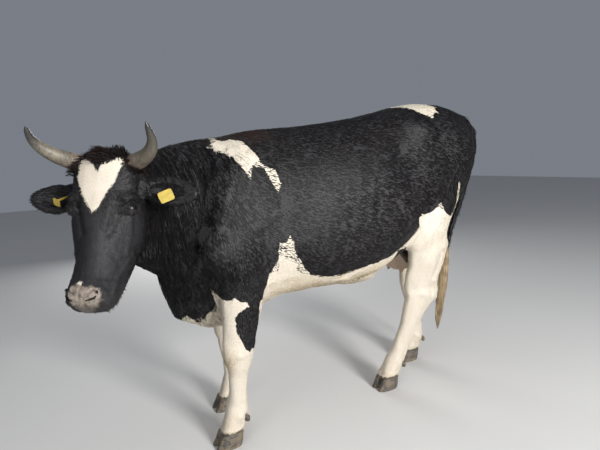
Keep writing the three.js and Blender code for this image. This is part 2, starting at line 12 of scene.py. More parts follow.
import bmesh
import bpy
import numpy as np
from mathutils import Matrix, Vector
from mathutils.bvhtree import BVHTree


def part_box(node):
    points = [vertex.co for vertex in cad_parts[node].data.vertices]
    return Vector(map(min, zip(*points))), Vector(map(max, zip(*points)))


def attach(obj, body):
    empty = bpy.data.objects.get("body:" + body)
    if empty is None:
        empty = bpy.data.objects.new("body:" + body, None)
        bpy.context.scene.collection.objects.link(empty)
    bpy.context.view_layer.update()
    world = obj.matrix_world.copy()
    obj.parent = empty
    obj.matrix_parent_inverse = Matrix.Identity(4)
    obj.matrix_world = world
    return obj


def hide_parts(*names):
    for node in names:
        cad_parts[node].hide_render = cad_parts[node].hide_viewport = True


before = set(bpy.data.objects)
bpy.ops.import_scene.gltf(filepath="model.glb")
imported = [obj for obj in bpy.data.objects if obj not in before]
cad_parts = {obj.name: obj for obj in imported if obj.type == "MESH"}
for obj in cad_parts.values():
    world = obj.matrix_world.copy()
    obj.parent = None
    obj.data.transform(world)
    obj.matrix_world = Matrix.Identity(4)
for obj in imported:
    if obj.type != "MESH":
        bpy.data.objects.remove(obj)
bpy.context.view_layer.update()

LOG = logging.getLogger("cow")
SIDES = ("left", "right")
# The signed distance to a marking that is given where no marking is near.
OUTSIDE = -0.06
# The size of one wisp's patch on the baking map.
WISP_PATCH = 0.003
LEGS = ("fore_left", "fore_right", "hind_left", "hind_right")
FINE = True

Points = np.ndarray
Place = tuple[float, float, float]
FlatLine = tuple[tuple[float, float], ...]


class Region(IntEnum):
    """Where on the cow a patch of skin is, which sets how its hair grows."""

    TRUNK = 0
    NECK = 1
    HEAD = 2
    MUZZLE = 3
    JAW = 4
    EAR = 5
    LEG = 6
    SHANK = 7
    TAIL = 8
    UDDER = 9


@dataclass(frozen=True)
class Growth:
    """How the skin and its hair are in one region: lengths in metres, density in tufts per square metre."""

    soften: float
    depth: float
    length: float
    width: float
    density: float
    lift: float


GROWTH = {
    Region.TRUNK: Growth(0.035, 0.005, 0.0215, 0.0037, 24000, 0.11),
    Region.NECK: Growth(0.03, 0.0065, 0.03, 0.004, 21000, 0.13),
    Region.HEAD: Growth(0.011, 0.0036, 0.011, 0.0021, 50000, 0.13),
    Region.MUZZLE: Growth(0.01, 0.0022, 0.007, 0.0016, 46000, 0.09),
    Region.JAW: Growth(0.01, 0.0036, 0.011, 0.0022, 42000, 0.1),
    Region.EAR: Growth(0.0045, 0.0018, 0.012, 0.0021, 50000, 0.14),
    Region.LEG: Growth(0.016, 0.0042, 0.0155, 0.0028, 32000, 0.12),
    Region.SHANK: Growth(0.011, 0.0034, 0.012, 0.0023, 38000, 0.12),
    Region.TAIL: Growth(0.009, 0.005, 0.028, 0.003, 27000, 0.15),
    Region.UDDER: Growth(0.018, 0.0015, 0.007, 0.0016, 12000, 0.22),
}


FACE_REGIONS = (Region.HEAD, Region.MUZZLE, Region.JAW)
LIMB_REGIONS = (Region.LEG, Region.SHANK)


def among(regions: np.ndarray, *kinds: Region) -> np.ndarray:
    """Which of the regions' numbers are of the named kinds."""
    return np.isin(regions, kinds)


def side_name(side: int) -> str:
    """The word for a side of the cow, which is above zero on its left."""
    return "left" if side > 0 else "right"


def node_box(node: str) -> Points:
    """The lowest and highest corners of a CAD node."""
    return np.array([tuple(corner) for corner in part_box(node)])


def region_of(node: str) -> Region:
    """The region that a flesh node's skin belongs to.

    Args:
        node: the node's name.

    Returns:
        Its region.
    """
    for word in node.replace("lower_", "").upper().split("_"):
        if word in Region.__members__:
            return Region[word]
    return Region.TRUNK


FLESH = (
    ["chest", "barrel", "hindquarters", "neck", "head", "muzzle", "lower_jaw", "udder", "tail"]
    + [f"ear_{side}" for side in SIDES]
    + [f"{leg}_{half}" for leg in LEGS for half in ("leg", "shank")]
)


# ---- frames of reference


@dataclass
class Stance:
    """Where the cow's own frame and its head's frame lie in the row frame.

    The head's X runs out of the face, its Y to the cow's left, its Z up to the poll, which is the origin.
    """

    poll: Place = (-0.436, -0.29, 1.213)
    face: Place = (-0.44, -0.823, 0.359)
    up: Place = (0.211, 0.292, 0.93)
    eye: Place = (-0.05, 0.092, -0.174)
    shift: np.ndarray = field(init=False)
    axes: np.ndarray = field(init=False)
    origin: np.ndarray = field(init=False)

    def __post_init__(self) -> None:
        """Finds the shift from the places of the two eyes."""
        out = np.array(self.face) / np.linalg.norm(self.face)
        left = np.cross(self.up, out)
        left /= np.linalg.norm(left)
        self.axes = np.array([out, left, np.cross(out, left)])
        middle = np.mean([node_box(f"eye_{side}").mean(axis=0) for side in SIDES], axis=0)
        back, _, down = self.eye
        self.origin = middle - back * self.axes[0] - down * self.axes[2]
        self.shift = self.origin - np.array(self.poll)

    def place(self, points: Points) -> Points:
        """Moves points from the cow's own frame to the row frame."""
        return np.asarray(points, float) + self.shift

    def own(self, points: Points) -> Points:
        """Moves points from the row frame to the cow's own frame."""
        return np.asarray(points, float) - self.shift

    def head(self, points: Points) -> Points:
        """Moves points from the head's frame to the row frame."""
        return np.asarray(points, float) @ self.axes + self.origin

    def from_head(self, *places: Place) -> list[Place]:
        """Places of the head's frame in the cow's own frame."""
        return [tuple(place) for place in self.own(self.head(np.array(places)))]

    def on_head(self, points: Points) -> Points:
        """Moves points from the row frame to the head's frame."""
        return (np.asarray(points, float) - self.origin) @ self.axes.T

    def head_way(self, way: Points) -> Points:
        """Turns directions of the head's frame into the row frame."""
        return np.asarray(way, float) @ self.axes


STANCE = Stance()


# ---- small maths


def unit(vectors: Points) -> Points:
    """Vectors at length 1, with the zero ones left alone."""
    length = np.linalg.norm(vectors, axis=-1, keepdims=True)
    return vectors / np.maximum(length, 1e-9)


def ease(low: float, high: float, values: Points) -> Points:
    """A smooth step from 0 at low to 1 at high, which may run downwards."""
    t = np.clip((np.asarray(values, float) - low) / (high - low), 0, 1)
    return t * t * (3 - 2 * t)


def bell(values: Points, middle: float, width: float) -> Points:
    """A smooth hump of height 1 round a middle, that falls to 1/e at its width."""
    return np.exp(-(((values - middle) / width) ** 2))


def wavy(points: Points, size: float, seed: int = 0) -> Points:
    """A smooth noise of about -1 to 1 whose bumps are of the given size, the same in each run.

    Args:
        points: n places.
        size: how far apart the bumps are.
        seed: which of the noises it is.

    Returns:
        n numbers.
    """
    draw = np.random.default_rng(seed)
    total = np.zeros(len(points))
    for _ in range(5):
        way = draw.normal(size=3)
        way *= (0.7 + 0.9 * draw.random()) * math.tau / size / np.linalg.norm(way)
        total += np.sin(points @ way + draw.uniform(0, math.tau))
    return total / 3


def to_line(points: Points, line: Points) -> tuple[Points, Points]:
    """Distance of points to a line of straight pieces, and how far along it the nearest place is.

    Args:
        points: n points.
        line: k points that the line runs through.

    Returns:
        n distances, and n positions from 0 at the line's start to k - 1 at its end.
    """
    best = np.full(len(points), np.inf)
    along = np.zeros(len(points))
    for i, (a, b) in enumerate(zip(line[:-1], line[1:])):
        way = b - a
        t = np.clip((points - a) @ way / (way @ way), 0, 1)
        far = np.linalg.norm(points - a - t[:, None] * way, axis=1)
        closer = far < best
        best[closer] = far[closer]
        along[closer] = i + t[closer]
    return best, along


def inside(points: Points, outline: Points) -> Points:
    """Signed distance to a closed flat outline, above zero inside it.

    Args:
        points: n places in the outline's two axes.
        outline: the outline's corners in order.

    Returns:
        n distances.
    """
    ring = np.vstack([outline, outline[:1]])
    far, _ = to_line(points, ring)
    within = np.zeros(len(points), bool)
    for (x0, y0), (x1, y1) in zip(ring[:-1], ring[1:]):
        if y0 == y1:
            continue
        crosses = (points[:, 1] < y0) != (points[:, 1] < y1)
        within ^= crosses & (points[:, 0] < (x1 - x0) * (points[:, 1] - y0) / (y1 - y0) + x0)
    return np.where(within, far, -far)


# ---- meshes


class Surface:
    """A mesh of triangles or quads as arrays, with the operations that shaping it needs."""

    def __init__(self, points: Points, faces: np.ndarray) -> None:
        """Keeps the arrays and works out which points are joined by an edge.

        Args:
            points: n places.
            faces: the corners' numbers, one row for each face.
        """
        self.points = points
        self.faces = faces
        ends = np.stack([faces, np.roll(faces, -1, axis=1)], axis=-1).reshape(-1, 2)
        pairs = np.unique(np.sort(ends, axis=1), axis=0)
        both = np.vstack([pairs, pairs[:, ::-1]])
        both = both[np.argsort(both[:, 0], kind="stable")]
        self.near = both[:, 1]
        self.count = np.bincount(both[:, 0], minlength=len(points))
        self.first = np.concatenate([[0], np.cumsum(self.count)[:-1]])

    @classmethod
    def of(cls, mesh: bpy.types.Mesh) -> "Surface":
        """Reads a Blender mesh whose faces all have as many corners as the first.

        Args:
            mesh: the mesh.

        Returns:
            Its shape.
        """
        points = np.empty(len(mesh.vertices) * 3, np.float32)
        mesh.vertices.foreach_get("co", points)
        corners = np.empty(len(mesh.loops), np.int32)
        mesh.loops.foreach_get("vertex_index", corners)
        sides = mesh.polygons[0].loop_total
        return cls(points.reshape(-1, 3).astype(float), corners.reshape(-1, sides))

    def soften(self, values: Points, strength: Points, rounds: int) -> Points:
        """Draws each point's value towards the mean of its neighbours'.

        Args:
            values: one number or vector for each point.
            strength: how far it moves in a round, from 0 to 1, for each point.
            rounds: how many times this is done.

        Returns:
            The new values.
        """
        flat = values.reshape(len(values), -1).astype(np.float32)
        pull = np.broadcast_to(strength, len(values)).astype(np.float32)[:, None]
        share = 1 / np.maximum(self.count, 1).astype(np.float32)[:, None]
        for _ in range(rounds):
            flat = flat + pull * (np.add.reduceat(flat[self.near], self.first, axis=0) * share - flat)
        return flat.astype(float).reshape(values.shape)

    def normals(self) -> Points:
        """The outward direction at each point.

        Returns:
            One unit direction for each point.
        """
        corner = self.points[self.faces]
        cross = np.cross(corner[:, 2] - corner[:, 0], corner[:, -1] - corner[:, 1])
        if self.faces.shape[1] == 3:
            cross = np.cross(corner[:, 1] - corner[:, 0], corner[:, 2] - corner[:, 0])
        total = np.zeros_like(self.points)
        for k in range(self.faces.shape[1]):
            for axis in range(3):
                total[:, axis] += np.bincount(self.faces[:, k], cross[:, axis], len(self.points))
        return unit(total)


def make_object(
    name: str,
    points: Points,
    faces: np.ndarray | list,
    finish: bpy.types.Material | None = None,
    values: dict[str, Points] | None = None,
) -> bpy.types.Object:
    """A mesh object from arrays, shaded smooth.

    Args:
        name: the object's name.
        points: n points in the row frame.
        faces: an array of faces of one size, or a list of such arrays.
        finish: its material.
        values: named attributes with one number for each point.

    Returns:
        The new object, linked to the scene.
    """
    groups = faces if isinstance(faces, list) else [faces]
    sizes = np.concatenate([np.full(len(group), group.shape[1]) for group in groups])
    corners = np.concatenate([group.ravel() for group in groups])
    mesh = bpy.data.meshes.new(name)
    mesh.vertices.add(len(points))
    mesh.vertices.foreach_set("co", np.asarray(points, np.float32).ravel())
    mesh.loops.add(len(corners))
    mesh.loops.foreach_set("vertex_index", corners.astype(np.int32))
    mesh.polygons.add(len(sizes))
    mesh.polygons.foreach_set("loop_start", np.concatenate([[0], np.cumsum(sizes)[:-1]]).astype(np.int32))
    mesh.polygons.foreach_set("use_smooth", np.full(len(sizes), True))
    mesh.update(calc_edges=True)
    for key, value in (values or {}).items():
        mesh.attributes.new(key, "FLOAT", "POINT").data.foreach_set("value", np.asarray(value, np.float32))
    if finish:
        mesh.materials.append(finish)
    return linked(name, mesh)


def settle(made: bpy.types.Object, slot: str, *nodes: str) -> bpy.types.Object:
    """Lets a piece ride on the cow, and hides the nodes that it stands for.

    Args:
        made: the piece.
        slot: the name of its finish; not used.
        nodes: the nodes that it stands for.

    Returns:
        The piece.
    """
    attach(made, "root")
    if nodes:
        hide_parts(*nodes)
    LOG.info("%s: %d faces", made.name, len(made.data.polygons))
    return made


def linked(name: str, data: bpy.types.ID) -> bpy.types.Object:
    """A new object of the scene, round its data.

    Args:
        name: its name.
        data: its mesh, lamp or camera data.

    Returns:
        The new object.
    """
    made = bpy.data.objects.new(name, data)
    bpy.context.scene.collection.objects.link(made)
    return made


def evaluated(made: bpy.types.Object) -> bpy.types.Mesh:
    """The object's mesh with its modifiers applied, as new data.

    Args:
        made: the object.

    Returns:
        The mesh.
    """
    graph = bpy.context.evaluated_depsgraph_get()
    graph.update()
    return bpy.data.meshes.new_from_object(made.evaluated_get(graph))


def discard(*things: bpy.types.Object) -> None:
    """Removes objects and their meshes.

    Args:
        things: the objects.
    """
    for thing in things:
        mesh = thing.data
        bpy.data.objects.remove(thing)
        bpy.data.meshes.remove(mesh)


def shape_of(made: bpy.types.Object) -> Surface:
    """The shape of an object with its modifiers applied, in place of the object.

    Args:
        made: the object, which is removed.

    Returns:
        Its shape.
    """
    mesh = evaluated(made)
    shape = Surface.of(mesh)
    bpy.data.meshes.remove(mesh)
    discard(made)
    return shape


def even_shape(mesh: bpy.types.Mesh, voxel: float) -> Surface:
    """The shape of a mesh as even faces of the given size, in place of the mesh.

    Args:
        mesh: the mesh, which is removed.
        voxel: the faces' size in metres.

    Returns:
        Its shape.
    """
    made = linked(mesh.name, mesh)
    remesh = made.modifiers.new("remesh", "REMESH")
    remesh.mode = "VOXEL"
    remesh.voxel_size = voxel
    return shape_of(made)


def unroll(mesh: bpy.types.Mesh, places: Points, corners: np.ndarray) -> None:
    """Keeps the points' places on the baking map, at all corners of the faces."""
    layer = mesh.uv_layers.new(name="OFBake")
    layer.data.foreach_set("uv", np.clip(places[corners], 0, 1).astype(np.float32).ravel())


# ---- markings


@dataclass(frozen=True)
class Patch:
    """A white patch: an outline in millimetres in two axes, on the part of the skin between two corners."""

    axes: tuple[int, int]
    outline: FlatLine
    low: Place = (-9, -9, -9)
    high: Place = (9, 9, 9)

    def reach(self, points: Points) -> Points:
        """Signed distance to the patch's edge, above zero inside it.

        Args:
            points: n places in the frame that the patch is written in.

        Returns:
            n distances in metres.
        """
        within = np.all((points > self.low) & (points < self.high), axis=1)
        found = np.full(len(points), OUTSIDE)
        found[within] = inside(points[within][:, self.axes], np.array(self.outline) / 1000)
        return found


SHOULDER_PATCH = Patch(
    (0, 2),
    ((3, 1266), (0, 1205), (41, 1193), (66, 1150), (108, 1088), (127, 1143), (172, 1127), (188, 1072),
     (207, 1026), (225, 1066), (213, 1118), (170, 1140), (154, 1181), (123, 1238), (87, 1252),
     (54, 1243)),
    high=(9, -0.005, 9),
)
RUMP_PATCH = Patch(
    (0, 1),
    ((930, 60), (945, -30), (981, -70), (1003, -136), (1058, -186), (1096, -150), (1122, -157),
     (1125, -118), (1152, -108), (1130, -60), (1160, 0), (1120, 70), (1050, 120), (980, 100)),
    low=(-9, -9, 1.2),
)
NEAR_BELLY = Patch(
    (0, 2),
    ((95, 600), (124, 605), (151, 711), (184, 712), (178, 800), (186, 834), (215, 832), (229, 864),
     (240, 835), (246, 790), (290, 715), (330, 675), (370, 658), (474, 645), (596, 675), (660, 682),
     (720, 701), (800, 735), (860, 775), (880, 800), (870, 860), (900, 878), (930, 872), (975, 885),
     (1020, 920), (1034, 905), (1040, 870), (1075, 850), (1117, 842), (1150, 860), (1162, 900),
     (1168, 1000), (1185, 1003), (1198, 930), (1225, 800), (1250, 600), (1250, -100), (700, -100),
     (600, 450), (95, 450)),
    high=(9, 0.0, 9),
)
FAR_BELLY = Patch(
    (0, 2),
    ((100, 560), (130, 660), (200, 700), (300, 640), (420, 610), (550, 660), (660, 750), (740, 730),
     (820, 690), (900, 740), (960, 830), (1060, 880), (1160, 820), (1240, 860), (1300, 800),
     (1330, 600), (1330, -100), (750, -100), (600, 450), (100, 450)),
    low=(-9, 0.0, -9),
)
NEAR_FORELEG = Patch(
    (0, 2),
    ((-80, 672), (-51, 634), (-39, 628), (-19, 628), (-11, 638), (-3, 635), (10, 620), (39, 613),
     (47, 597), (25, 588), (6, 577), (-5, 565), (-12, 566), (-10, 534), (-8, 498), (0, 478),
     (16, 440), (27, 414), (41, 402), (57, 410), (70, 404), (100, 350), (120, -100), (-250, -100),
     (-250, 480), (-110, 500), (-86, 558), (-54, 563), (-54, 594), (-69, 643)),
    high=(9, -0.12, 0.68),
)
INNER_FORELEG = Patch(
    (0, 2),
    ((-40, 575), (60, 610), (130, 570), (130, -100), (-200, -100), (-100, 400)),
    low=(-9, -0.185, -9),
    high=(9, 0.0, 9),
)
FAR_FORELEG = Patch(
    (0, 2),
    ((-80, 500), (-40, 570), (20, 630), (100, 660), (190, 600), (200, -100), (-150, -100)),
    low=(-9, 0.0, -9),
)
BRISKET = Patch(
    (0, 2),
    ((-172, 538), (-158, 549), (-150, 538), (-135, 522), (-113, 504), (-96, 517), (-87, 535),
     (-84, 557), (-54, 563), (0, 572), (50, 600), (120, 625), (120, 380), (-172, 380)),
    low=(-9, -0.14, -9),
    high=(9, 0.14, 9),
)
FAR_FLANK = Patch(
    (0, 2),
    ((440, 1020), (500, 1120), (600, 1150), (700, 1110), (730, 1020), (660, 950), (580, 970),
     (500, 930)),
    low=(-9, 0.0, -9),
)
FAR_SHOULDER = Patch(
    (0, 2),
    ((20, 1200), (70, 1256), (120, 1220), (160, 1120), (120, 1050), (80, 1100), (50, 1130)),
    low=(-9, 0.005, -9),
)
# Painted shade: black skin and hair where the flank meets the thigh, and before the udder, which lie in
# shade.
FLANK_FOLD_SHADE = Patch(
    (0, 1),
    ((775, -256), (800, -250), (825, -238), (866, -206), (905, -180), (915, -80), (840, -80),
     (790, -150)),
    low=(-9, -9, 0.655),
    high=(9, 0.0, 0.722),
)
UDDER_FOLD_SHADE = Patch(
    (0, 2),
    ((890, 720), (915, 668), (927, 648), (936, 632), (946, 621), (968, 596), (1050, 596), (1050, 720)),
    low=(-9, -0.17, -9),
    high=(9, 0.0, 9),
)
BODY_PATCHES = (
    SHOULDER_PATCH, RUMP_PATCH, NEAR_BELLY, FAR_BELLY, NEAR_FORELEG, INNER_FORELEG, FAR_FORELEG, BRISKET,
    FAR_FLANK, FAR_SHOULDER,
)
# The star and the bare nose are outlined across the face: to the left and up.
STAR = Patch(
    (1, 2),
    ((-79, -36), (-67, -58), (-74, -80), (-57, -113), (-42, -143), (-26, -168), (-6, -198), (9, -180),
     (23, -148), (36, -121), (50, -100), (56, -78), (64, -48), (74, -26), (63, -20), (55, -3),
     (43, -19), (26, -36), (6, -42), (-3, -70), (-15, -50), (-30, -32), (-47, -21), (-66, -17),
     (-85, -22)),
    low=(-0.07, -9, -9),
)
NOSE_SPOT = Patch(
    (1, 2),
    ((-27, -419), (-20, -413), (-9, -417), (-12, -426), (-17, -436), (-23, -430)),
    low=(-0.05, -9, -9),
)
NOSE_PAD = Patch(
    (1, 2),
    ((-44, -428), (-20, -424), (0, -430), (20, -430), (38, -434), (49, -446), (48, -466), (38, -486),
     (20, -500), (0, -515), (-20, -500), (-38, -486), (-48, -466), (-49, -446)),
    low=(-0.052, -9, -9),
)


def whiteness(points: Points, regions: np.ndarray) -> Points:
    """Signed distance to the edge of the white coat, above zero where the hair is white.

    Args:
        points: n points in the row frame.
        regions: the region's number for each of them.

    Returns:
        n distances in metres, with the edges frayed by a few millimetres.
    """
    on_head = among(regions, *FACE_REGIONS)
    on_body = ~on_head & ~among(regions, Region.EAR, Region.TAIL)
    found = np.full(len(points), OUTSIDE)
    own = STANCE.own(points[on_body])
    found[on_body] = np.max([patch.reach(own) for patch in BODY_PATCHES], axis=0)
    face = STANCE.on_head(points[on_head])
    found[on_head] = np.maximum(STAR.reach(face), NOSE_SPOT.reach(face))
    found[regions == Region.UDDER] = 0.05
    # Painted shade: the shaded creases by the thigh and before the udder are made black.
    for shaded_fold, kinds in ((FLANK_FOLD_SHADE, (Region.TRUNK,)), (UDDER_FOLD_SHADE, (Region.TRUNK, Region.UDDER))):
        here = among(regions, *kinds)
        found[here] = np.minimum(found[here], -shaded_fold.reach(STANCE.own(points[here])))
    broad = 0.0022 * wavy(points, 0.024, 5) + 0.0012 * wavy(points, 0.01, 6)
    fine = 0.003 * wavy(points, 0.0055, 9)
    return found + np.where(on_head, 0.5 * broad + fine, broad + 0.35 * fine)


def bareness(points: Points, regions: np.ndarray) -> Points:
    """Signed distance to the edge of the bare nose, above zero on it.

    Args:
        points: n places in the row frame.
        regions: the region's number for each of them.

    Returns:
        n distances in metres.
    """
    found = np.full(len(points), OUTSIDE)
    near = among(regions, *FACE_REGIONS)
    found[near] = NOSE_PAD.reach(STANCE.on_head(points[near]))
    return found + 0.0015 * wavy(points, 0.012, 8)


def stains_and_shade(points: Points) -> Points:
    """How soiled the hair is, from 0 to 1: yellow knees, muddy feet, creamy belly, and before the udder
    partly a painted shade under the body.

    Args:
        points: n places in the row frame.

    Returns:
        n shares.
    """
    own = STANCE.own(points)
    feet = ease(0.2, 0.03, own[:, 2]) * (0.55 + 0.35 * wavy(own, 0.05, 11))
    hind = ease(0.6, 0.8, own[:, 0]) * ease(0.42, 0.1, own[:, 2]) * (0.1 + 0.08 * wavy(own, 0.06, 12))
    knee = np.exp(-((own[:, 2] - 0.375) ** 2) / 0.05**2) * ease(0.0, -0.04, own[:, 0]) * 0.8
    belly = ease(0.72, 0.6, own[:, 2]) * ease(0.1, 0.2, own[:, 0]) * (0.6 + 0.25 * wavy(own, 0.09, 13))
    belly *= ease(0.44, 0.52, own[:, 2]) * ease(0.9, 0.84, own[:, 0])
    navel = ease(0.1, 0.03, np.linalg.norm(own[:, ::2] - (0.66, 0.565), axis=1)) * 0.35
    rear = ease(1.0, 1.15, own[:, 0]) * ease(0.35, 0.6, own[:, 2]) * 0.25
    # Painted shade with some soiling: the hair before the udder is darkened where the body shades it.
    udder = ease(0.86, 0.94, own[:, 0]) * ease(0.74, 0.66, own[:, 2]) * 0.45
    udder *= ease(0.2, 0.15, np.abs(own[:, 1]))
    return np.clip(np.max([feet, hind, knee, belly + navel, rear, udder * (own[:, 2] > 0.5)], axis=0), 0, 1)


def rusting(points: Points) -> Points:
    """How far the sun has turned the black hair brown, from 0 to 1: along the withers and at the poll.

    Args:
        points: n places in the row frame.

    Returns:
        n shares.
    """
    own, local = STANCE.own(points), STANCE.on_head(points)
    withers = ease(1.215, 1.27, own[:, 2]) * ease(-0.08, 0.02, own[:, 0]) * ease(0.3, 0.14, own[:, 0]) * 0.8
    poll = ease(-0.08, -0.02, local[:, 2]) * ease(0.22, 0.16, np.linalg.norm(local, axis=1)) * 0.3
    patchy = 0.75 + 0.25 * wavy(points, 0.11, 15)
    return np.clip(np.maximum(withers, poll) * patchy + 0.03 * wavy(points, 0.3, 16), 0, 1)


def greyed_by_dust_and_sheen(points: Points) -> Points:
    """How far the black hair is greyed, from 0 to 1, over the bridge of the nose and the cheek: partly by
    dust, partly as a painted sheen of light on the face's hair.

    Args:
        points: n places in the row frame.

    Returns:
        n shares.
    """
    local = STANCE.on_head(points)
    bridge = ease(-0.14, -0.24, local[:, 2]) * ease(-0.15, -0.08, local[:, 0])
    bridge *= ease(0.6, 0.5, -local[:, 2])
    return bridge * (0.8 + 0.2 * wavy(points, 0.05, 17))


# ---- the forms under the coat


@dataclass(frozen=True)
class Form:
    """A ridge along a line on the skin, or a groove where its height is below zero."""

    line: tuple[Place, ...]
    width: float
    height: float
    mirrored: bool = True


BODY_FORMS = (
    Form(((0.975, -0.215, 1.262),), 0.062, 0.008),  # hip bone
    Form(((1.395, -0.09, 1.19),), 0.04, 0.01),  # pin bone
    Form(((0.81, -0.225, 1.185), (0.85, -0.27, 1.08)), 0.085, -0.02),  # hollow of the flank
    Form(((0.905, -0.275, 0.8), (0.83, -0.29, 0.85), (0.76, -0.3, 0.95)), 0.026, 0.01),
    Form(((0.15, -0.255, 0.69), (0.12, -0.245, 0.86)), 0.032, -0.014),  # behind the elbow
    Form(((0.085, -0.17, 1.19), (0.02, -0.215, 1.06), (-0.04, -0.25, 0.9)), 0.03, 0.009),
    Form(((0.215, -0.24, 1.16), (0.19, -0.27, 0.88)), 0.042, -0.012),  # behind the shoulder
    Form(((-0.08, -0.19, 1.08), (-0.13, -0.21, 0.83)), 0.036, -0.012),  # before the shoulder
    Form(((-0.06, -0.235, 0.8), (0.02, -0.26, 0.72)), 0.04, 0.01),  # point of the shoulder
    Form(((1.3, -0.15, 1.05), (1.19, -0.215, 0.86), (1.12, -0.21, 0.74)), 0.024, -0.009),
    Form(((0.955, -0.285, 0.79),), 0.036, 0.01),  # stifle
    Form(((0.2, 0, 1.3), (0.6, 0, 1.325), (1.0, 0, 1.395), (1.3, 0, 1.37)), 0.016, 0.004, False),
    Form(((0.44, -0.2, 0.6), (0.5, -0.215, 0.618), (0.575, -0.25, 0.655)), 0.011, 0.009, False),
    Form(((0.46, -0.235, 0.625), (0.53, -0.24, 0.645), (0.62, -0.258, 0.672)), 0.009, -0.011, False),
    Form(((0.56, 0, 0.55), (0.64, 0, 0.528), (0.7, 0, 0.522), (0.8, 0, 0.535)), 0.022, 0.01, False),
)
RIBS = tuple(
    Form(((x, -0.29, 1.12), (x - 0.05, -0.318, 0.92), (x - 0.11, -0.29, 0.72)), 0.018, 0.0028)
    for x in (0.34, 0.4, 0.46, 0.52, 0.58, 0.64, 0.7)
)
NECK_FORMS = (
    Form(((-0.3, -0.215, 1.13), (-0.285, -0.215, 0.98), (-0.275, -0.17, 0.83)), 0.014, -0.01, False),
    Form(((-0.255, -0.205, 1.12), (-0.235, -0.2, 0.93), (-0.235, -0.15, 0.76)), 0.016, -0.009, False),
    Form(((-0.2, -0.2, 1.08), (-0.185, -0.19, 0.88), (-0.195, -0.11, 0.7)), 0.018, -0.008, False),
    Form(((-0.14, -0.2, 1.0), (-0.14, -0.19, 0.82), (-0.16, -0.11, 0.64)), 0.018, -0.006, False),
    Form(((-0.275, -0.205, 1.11), (-0.26, -0.2, 0.93), (-0.262, -0.15, 0.78)), 0.012, 0.008, False),
    Form(((-0.225, -0.2, 1.08), (-0.21, -0.19, 0.88), (-0.215, -0.12, 0.72)), 0.014, 0.007, False),
    Form(((-0.235, -0.095, 0.69), (-0.17, -0.07, 0.6), (-0.09, -0.06, 0.54)), 0.014, -0.008),
)
FACE_FORMS = (
    Form(((-0.05, 0.1, -0.212), (-0.066, 0.104, -0.262), (-0.074, 0.09, -0.318)), 0.013, 0.006),
    Form(((-0.022, 0.072, -0.165), (-0.018, 0.064, -0.205), (-0.014, 0.048, -0.255)), 0.016, -0.0075),
    Form(((-0.085, 0.108, -0.105),), 0.028, -0.009),
    Form(((-0.014, 0.072, -0.146), (-0.042, 0.102, -0.136), (-0.08, 0.114, -0.152)), 0.013, 0.005),
    Form(((-0.205, 0.078, -0.245),), 0.03, 0.007),
    Form(((-0.12, 0.104, -0.3), (-0.19, 0.08, -0.305)), 0.016, -0.0065),
    Form(((-0.022, 0.05, -0.318), (-0.036, 0.061, -0.331), (-0.052, 0.072, -0.345)), 0.01, -0.0022),
    Form(((-0.104, 0.092, -0.313), (-0.08, 0.081, -0.355), (-0.054, 0.073, -0.392), (-0.04, 0.072, -0.418),
          (-0.028, 0.072, -0.442)), 0.01, 0.0045),
    Form(((-0.13, 0.086, -0.325), (-0.104, 0.076, -0.368), (-0.08, 0.068, -0.405), (-0.062, 0.064, -0.44)),
         0.013, -0.0055),
    Form(((0.002, 0.036, -0.26), (0.008, 0.038, -0.4)), 0.011, -0.0028),
    Form(((0.012, 0.044, -0.432), (0.004, 0.062, -0.448)), 0.013, 0.005),
    Form(((0.02, -0.014, -0.44), (0.014, -0.014, -0.48), (-0.004, -0.014, -0.506)), 0.004, -0.0018, False),
    Form(((-0.02, 0.06, -0.482), (-0.05, 0.07, -0.47)), 0.012, 0.004),
    Form(((-0.06, 0.05, -0.5), (-0.09, 0.055, -0.47)), 0.012, 0.004),
    Form(((-0.03, 0.0, -0.02),), 0.04, 0.01, False),
)


def raised(points: Points, forms: tuple[Form, ...]) -> Points:
    """How far forms raise each point, in the frame that they are written in.

    Args:
        points: n places.
        forms: the ridges and grooves.

    Returns:
        n heights in metres.
    """
    total = np.zeros(len(points))
    for form in forms:
        for flip in (1, -1) if form.mirrored else (1,):
            line = np.array(form.line + form.line[-1:] if len(form.line) == 1 else form.line) * (1, flip, 1)
            if len(form.line) == 1:
                line[1, 2] += 1e-4
            reach = 2.6 * form.width
            near = np.all((points > line.min(0) - reach) & (points < line.max(0) + reach), axis=1)
            if near.any():
                far, _ = to_line(points[near], line)
                total[near] += form.height * bell(far, 0, form.width)
    return total


